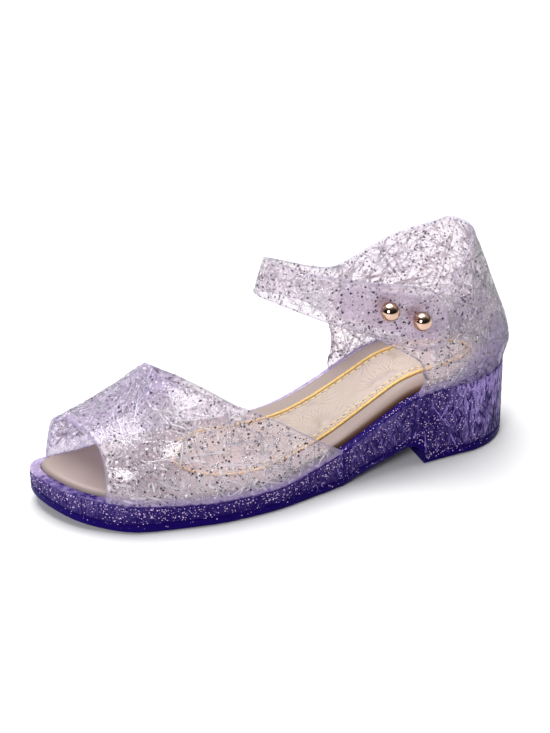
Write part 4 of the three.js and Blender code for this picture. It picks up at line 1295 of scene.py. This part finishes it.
class SANDAL_OT_strands(bpy.types.Operator):
    """Builds the raised strands that cross each other over the clear walls and the sole's side"""
    bl_idname = "jelly_sandal.strands"
    bl_label = "Build strands"

    def execute(self, context):
        jelly, sole = context.scene.sandal_jelly, context.scene.sandal_sole
        rng = np.random.default_rng(3)
        around, share = scatter(collar, COLLAR_ENDS, jelly.collar_strands, rng)
        on_collar = around, lerp(*collar_edges(around), share)
        on_vamp = scatter(vamp, (0, 1), jelly.vamp_strands, rng)
        on_side = scatter(sole_side, (.002, 2 * np.pi - .002), sole.strands, rng)
        clear = {"finish": strand_material(jelly), "slot": "upper_jelly"}
        violet = {"finish": violet_strand_material(sole), "slot": "sole_jelly"}
        usual = {"steepness": 0, "size": 1, "sink": jelly.strand_height}
        small = {"steepness": .55, "size": .5, "sink": 0}
        for name, surface, starts, allowed, limits, form, look in (
                ("vamp_strands", vamp, on_vamp, vamp_allowed, whole_share, usual, clear),
                ("collar_strands", ankle_layer, on_collar, collar_allowed, collar_edges, usual, clear),
                ("sole_strands", sole_side, on_side, side_allowed, whole_share, small, violet)):
            points, quads, triangles, tone = strand_mesh(
                surface, starts, allowed, limits, jelly, rng, **form)
            piece(name, points, quads, triangles, sharp=70, **look,
                  values={"sole_fade": sole_fade(points, jelly), "tone": tone})
        return {"FINISHED"}


class SANDAL_OT_glitter(bpy.types.Operator):
    """Scatters the glitter flakes in the clear walls and on the sole's side"""
    bl_idname = "jelly_sandal.glitter"
    bl_label = "Scatter glitter"

    def execute(self, context):
        jelly, sole = context.scene.sandal_jelly, context.scene.sandal_sole
        foil = foil_material("upper_foil", jelly.dark_foil, jelly.bright_foil, bright_from=.9)
        for name, surface, ends, count, seed in (
                ("vamp_glitter", vamp, (.02, .98), jelly.vamp_flakes, 21),
                ("collar_glitter", collar, (.158, 1.273), jelly.collar_flakes, 22)):
            rng = np.random.default_rng(seed)
            u, v = scatter(surface, ends, count, rng)
            v = v.clip(.02, .98)
            normals = normal_of(surface, u, v)
            depth = jelly.strand_height - .1 + rng.random(count) ** 3 * .8
            centres = surface(u, v) - normals * depth[:, None]
            radius = jelly.flake_size * rng.uniform(.6, 1.5, count)
            glitter_piece(name, centres, normals, radius, .7, rng, foil, "upper_jelly")
        rng = np.random.default_rng(23)
        places = side_places(sole.relief, sole.sparkles, rng), rim_places(rng)
        centres, normals = (np.concatenate(part) for part in zip(*places))
        radius = jelly.flake_size * .62 * rng.uniform(.5, 1.4, len(centres))
        foil = foil_material("sole_foil", sole.dark_foil, sole.bright_foil, bright_from=.5)
        glitter_piece("sole_glitter", centres, normals, radius, .5, rng, foil, "sole_jelly")
        return {"FINISHED"}


class SANDAL_OT_footbed(bpy.types.Operator):
    """Builds the padded footbed with its rounded edge and the sunk seat of the panel"""
    bl_idname = "jelly_sandal.footbed"
    bl_label = "Build footbed"

    def execute(self, context):
        settings = context.scene.sandal_footbed
        rows, low = pad_rows(loop_angles(420))
        points, quads, triangles = stack(rows)
        # painted shade at the foot of the pad's side, only on the outer side from the heel to the middle of the
        # foot
        low = low.ravel() * (1 - smooth(points[:, 0], 95, 120)) * smooth(points[:, 1], -6, 4)
        pad = piece("footbed_cushion", points, quads, triangles, slot="footbed_skin", sharp=60,
                    finish=skin_material(settings), values={"painted_side_shade": low}, replaces=["footbed"])
        return {"FINISHED"}


class SANDAL_OT_trim(bpy.types.Operator):
    """Builds the printed panel, its gold piping, and the row of stitches with their needle holes"""
    bl_idname = "jelly_sandal.trim"
    bl_label = "Build panel and trim"

    def execute(self, context):
        settings = context.scene.sandal_footbed
        angles = loop_angles(420)
        points, quads, triangles = stack(np.stack([
            panel_row(angles, -inset, height * PANEL_THICKNESS) for inset, height in PANEL_SIDE]))
        piece("leaf_panel", points, quads, triangles, finish=print_material(settings), slot="panel_print",
              sharp=60, replaces=["footbed_panel"])
        points, quads = ring(np.stack([
            panel_row(angles, GAP + PIPING_RADIUS + PIPING_RADIUS * np.cos(turn),
                      PIPING_RADIUS * (1 + np.sin(turn)))
            for turn in np.linspace(0, 2 * np.pi, 12, endpoint=False)]))
        gold = handled_material(
            "gold_cord", settings.gold, roughness=.45, metallic=.15, change=.25, scale=.9)
        piece("gold_piping", points, quads, slot="gold_trim", replaces=["panel_piping"], finish=gold)
        fine = np.linspace(0, 2 * np.pi, 4001)
        passed = loop_length(*PANEL_LOOP.at(fine, -STITCH_INSET))
        count = int(passed[-1] / settings.stitch_pitch)
        for name, shift, size, lift, colour in (
                ("panel_stitches", 0, (1.05, .5, .34), .06, settings.thread),
                ("needle_holes", .5, (.26, .3, .14), .03, settings.hole)):
            at = np.interp((np.arange(count) + shift) * passed[-1] / count, passed, fine)
            points, quads = beads(at, size, lift)
            finish = handled_material(name, colour, roughness=.5, metallic=0, change=.2, scale=1.5)
            piece(name, points, quads, slot="panel_print", finish=finish)
        return {"FINISHED"}


class SANDAL_OT_studs(bpy.types.Operator):
    """Builds the two ball studs that hold the strap"""
    bl_idname = "jelly_sandal.studs"
    bl_label = "Build studs"

    def execute(self, context):
        settings = context.scene.sandal_studs
        inner = -(2 * WALL + GAP) - GAP  # under the tab, from the top of the strap
        base = inner - STUD_BASE_THICKNESS
        middle = GAP + STUD_RADIUS - STUD_SUNK
        arc = np.linspace(np.arccos((STUD_RADIUS - STUD_SUNK) / STUD_RADIUS), np.pi, 26)[:-1]
        ball = np.stack([STUD_RADIUS * np.sin(arc), middle - STUD_RADIUS * np.cos(arc)], -1)
        stem = np.array([
            (STUD_BASE - .25, base), (STUD_BASE, base + .25), (STUD_BASE, inner - .2),
            (STUD_BASE - .2, inner), (STUD_NECK, inner), (STUD_NECK, GAP)])
        points, quads, triangles = turned(
            np.concatenate([stem, ball]), base, GAP + 2 * STUD_RADIUS - STUD_SUNK, settings.segments)
        metal = handled_material(
            "rose_gold_plate", settings.metal, roughness=.06, metallic=1, change=.04, scale=.3)
        for node, (around, up) in STUDS.items():
            around, height = np.array(around), np.array(HEEL_LIFT + up * COUNTER_HEIGHT)
            axis = normal_of(ankle, around, height)
            place = ankle(around, height) + axis * (WALL + GAP)
            first = unit(np.cross(axis, [0, 0, 1.0]))
            basis = np.stack([first, np.cross(axis, first), axis])
            piece(node + "_ball", points @ basis + place, quads, triangles, finish=metal, slot="stud_metal",
                  sharp=40, replaces=[node])
        return {"FINISHED"}


# The stage
def studio_floor(settings):
    """A flat floor just under the sandal."""
    mesh = bpy.data.meshes.new("studio_floor")
    corners = [(x * FLOOR_REACH, y * FLOOR_REACH, -FLOOR_DROP)
               for x, y in ((-1, -1), (1, -1), (1, 1), (-1, 1))]
    mesh.from_pydata(corners, [], [(0, 1, 2, 3)])
    mesh.materials.append(handled_material(
        "pale_floor", settings.floor, roughness=.6, metallic=0, change=.01, scale=.002))
    return bpy.data.objects.new("studio_floor", mesh)


def studio_sky(settings):
    """Light from all round, stronger from above. A soft-edged patch of it on the sandal's outer side is
    dark, as a plain room is: the product of three smooth steps, one sideways, one up from the floor and
    one down from above."""
    n = Nodes(bpy.data.worlds.new("studio_sky"), "OutputWorld")
    x, y, up = n.add("SeparateXYZ", {0: n.add("TexCoord").outputs["Generated"]}).outputs
    ahead = n.maths("ADD", n.maths("MULTIPLY", x, .35), n.maths("MULTIPLY", y, .9))
    room = n.spread(ahead, -.2, .3, form="SMOOTHSTEP")
    for low, high, below, above in ((.02, .12, 0, 1), (.82, .98, 1, 0)):
        room = n.maths("MULTIPLY", room, n.spread(up, low, high, below, above, form="SMOOTHSTEP"))
    left = n.maths("SUBTRACT", 1.0, n.maths("MULTIPLY", room, settings.dark_room))
    light = n.maths("MULTIPLY", n.spread(up, .35, .8, .22, 1.0), left)
    return n.finish(n.add("Background", {"Strength": n.maths("MULTIPLY", light, settings.sky)}))


def studio_lamp(name, place, target, size, watts):
    """A square light that points from its place at a target."""
    data = bpy.data.lights.new(name, "AREA")
    data.shape, data.size, data.energy = "SQUARE", size, watts
    lamp = bpy.data.objects.new(name, data)
    lamp.location = place
    lamp.rotation_mode = "QUATERNION"
    lamp.rotation_quaternion = (Vector(target) - Vector(place)).to_track_quat("-Z", "Y")
    return lamp


def photo_camera():
    """The camera at the photograph's angle, which looks ahead from its place, turned by its shift."""
    camera = bpy.data.objects.new("photo_camera", bpy.data.cameras.new("photo_camera"))
    aim = (CAMERA_AHEAD + CAMERA_SHIFT[0] * CAMERA_RIGHT + CAMERA_SHIFT[1] * CAMERA_UP).normalized()
    side = (CAMERA_RIGHT - CAMERA_RIGHT.dot(aim) * aim).normalized()
    turn = Matrix((side, (-aim).cross(side), -aim)).transposed()
    camera.matrix_world = Matrix.Translation(CAMERA_PLACE) @ turn.to_4x4()
    camera.data.lens = FOCAL_PIXELS / PHOTO_HEIGHT * SENSOR
    camera.data.sensor_width = SENSOR
    camera.data.clip_start, camera.data.clip_end = CAMERA_NEAR, CAMERA_FAR
    return camera


class SANDAL_OT_stage(bpy.types.Operator):
    """Sets the pale floor, the soft studio lights and the camera"""
    bl_idname = "jelly_sandal.stage"
    bl_label = "Set stage"

    def execute(self, context):
        scene, settings = context.scene, context.scene.sandal_studio
        floor, camera = studio_floor(settings), photo_camera()
        scene.collection.objects.link(floor)
        scene.world = studio_sky(settings)
        for lamp in (
                studio_lamp("key_light", (.10, -.35, 1.25), (.07, 0, .02), 1.1, settings.key_power),
                studio_lamp("fill_light", (.9, .9, .7), (.07, 0, .03), .5, settings.fill_power)):
            scene.collection.objects.link(lamp)
        scene.collection.objects.link(camera)
        scene.camera = camera
        scene.view_settings.view_transform = "Standard"
        scene.cycles.transparent_max_bounces = 32
        return {"FINISHED"}


class SANDAL_PT_panel(bpy.types.Panel):
    """Lists the pieces of the sandal and their settings"""
    bl_idname = "SANDAL_PT_panel"
    bl_label = "Jelly Sandal"
    bl_space_type = "VIEW_3D"
    bl_region_type = "UI"
    bl_category = "Sandal"

    def draw(self, context):
        for operator in OPERATORS:
            self.layout.operator(operator.bl_idname)
        for key, group in SETTINGS.items():
            box = self.layout.box()
            for name in group.__annotations__:
                box.prop(getattr(context.scene, key), name)


OPERATORS = (SANDAL_OT_outsole, SANDAL_OT_upper, SANDAL_OT_strands, SANDAL_OT_glitter, SANDAL_OT_footbed,
             SANDAL_OT_trim, SANDAL_OT_studs, SANDAL_OT_stage)
CLASSES = (*SETTINGS.values(), *OPERATORS, SANDAL_PT_panel)


def register():
    for cls in CLASSES:
        bpy.utils.register_class(cls)
    for key, group in SETTINGS.items():
        setattr(bpy.types.Scene, key, PointerProperty(type=group))


def unregister():
    for key in SETTINGS:
        delattr(bpy.types.Scene, key)
    for cls in reversed(CLASSES):
        bpy.utils.unregister_class(cls)


def main():
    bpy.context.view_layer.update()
    register()
    for operator in OPERATORS:
        group, name = operator.bl_idname.split(".")
        getattr(getattr(bpy.ops, group), name)()


if __name__ == "__main__":
    main()
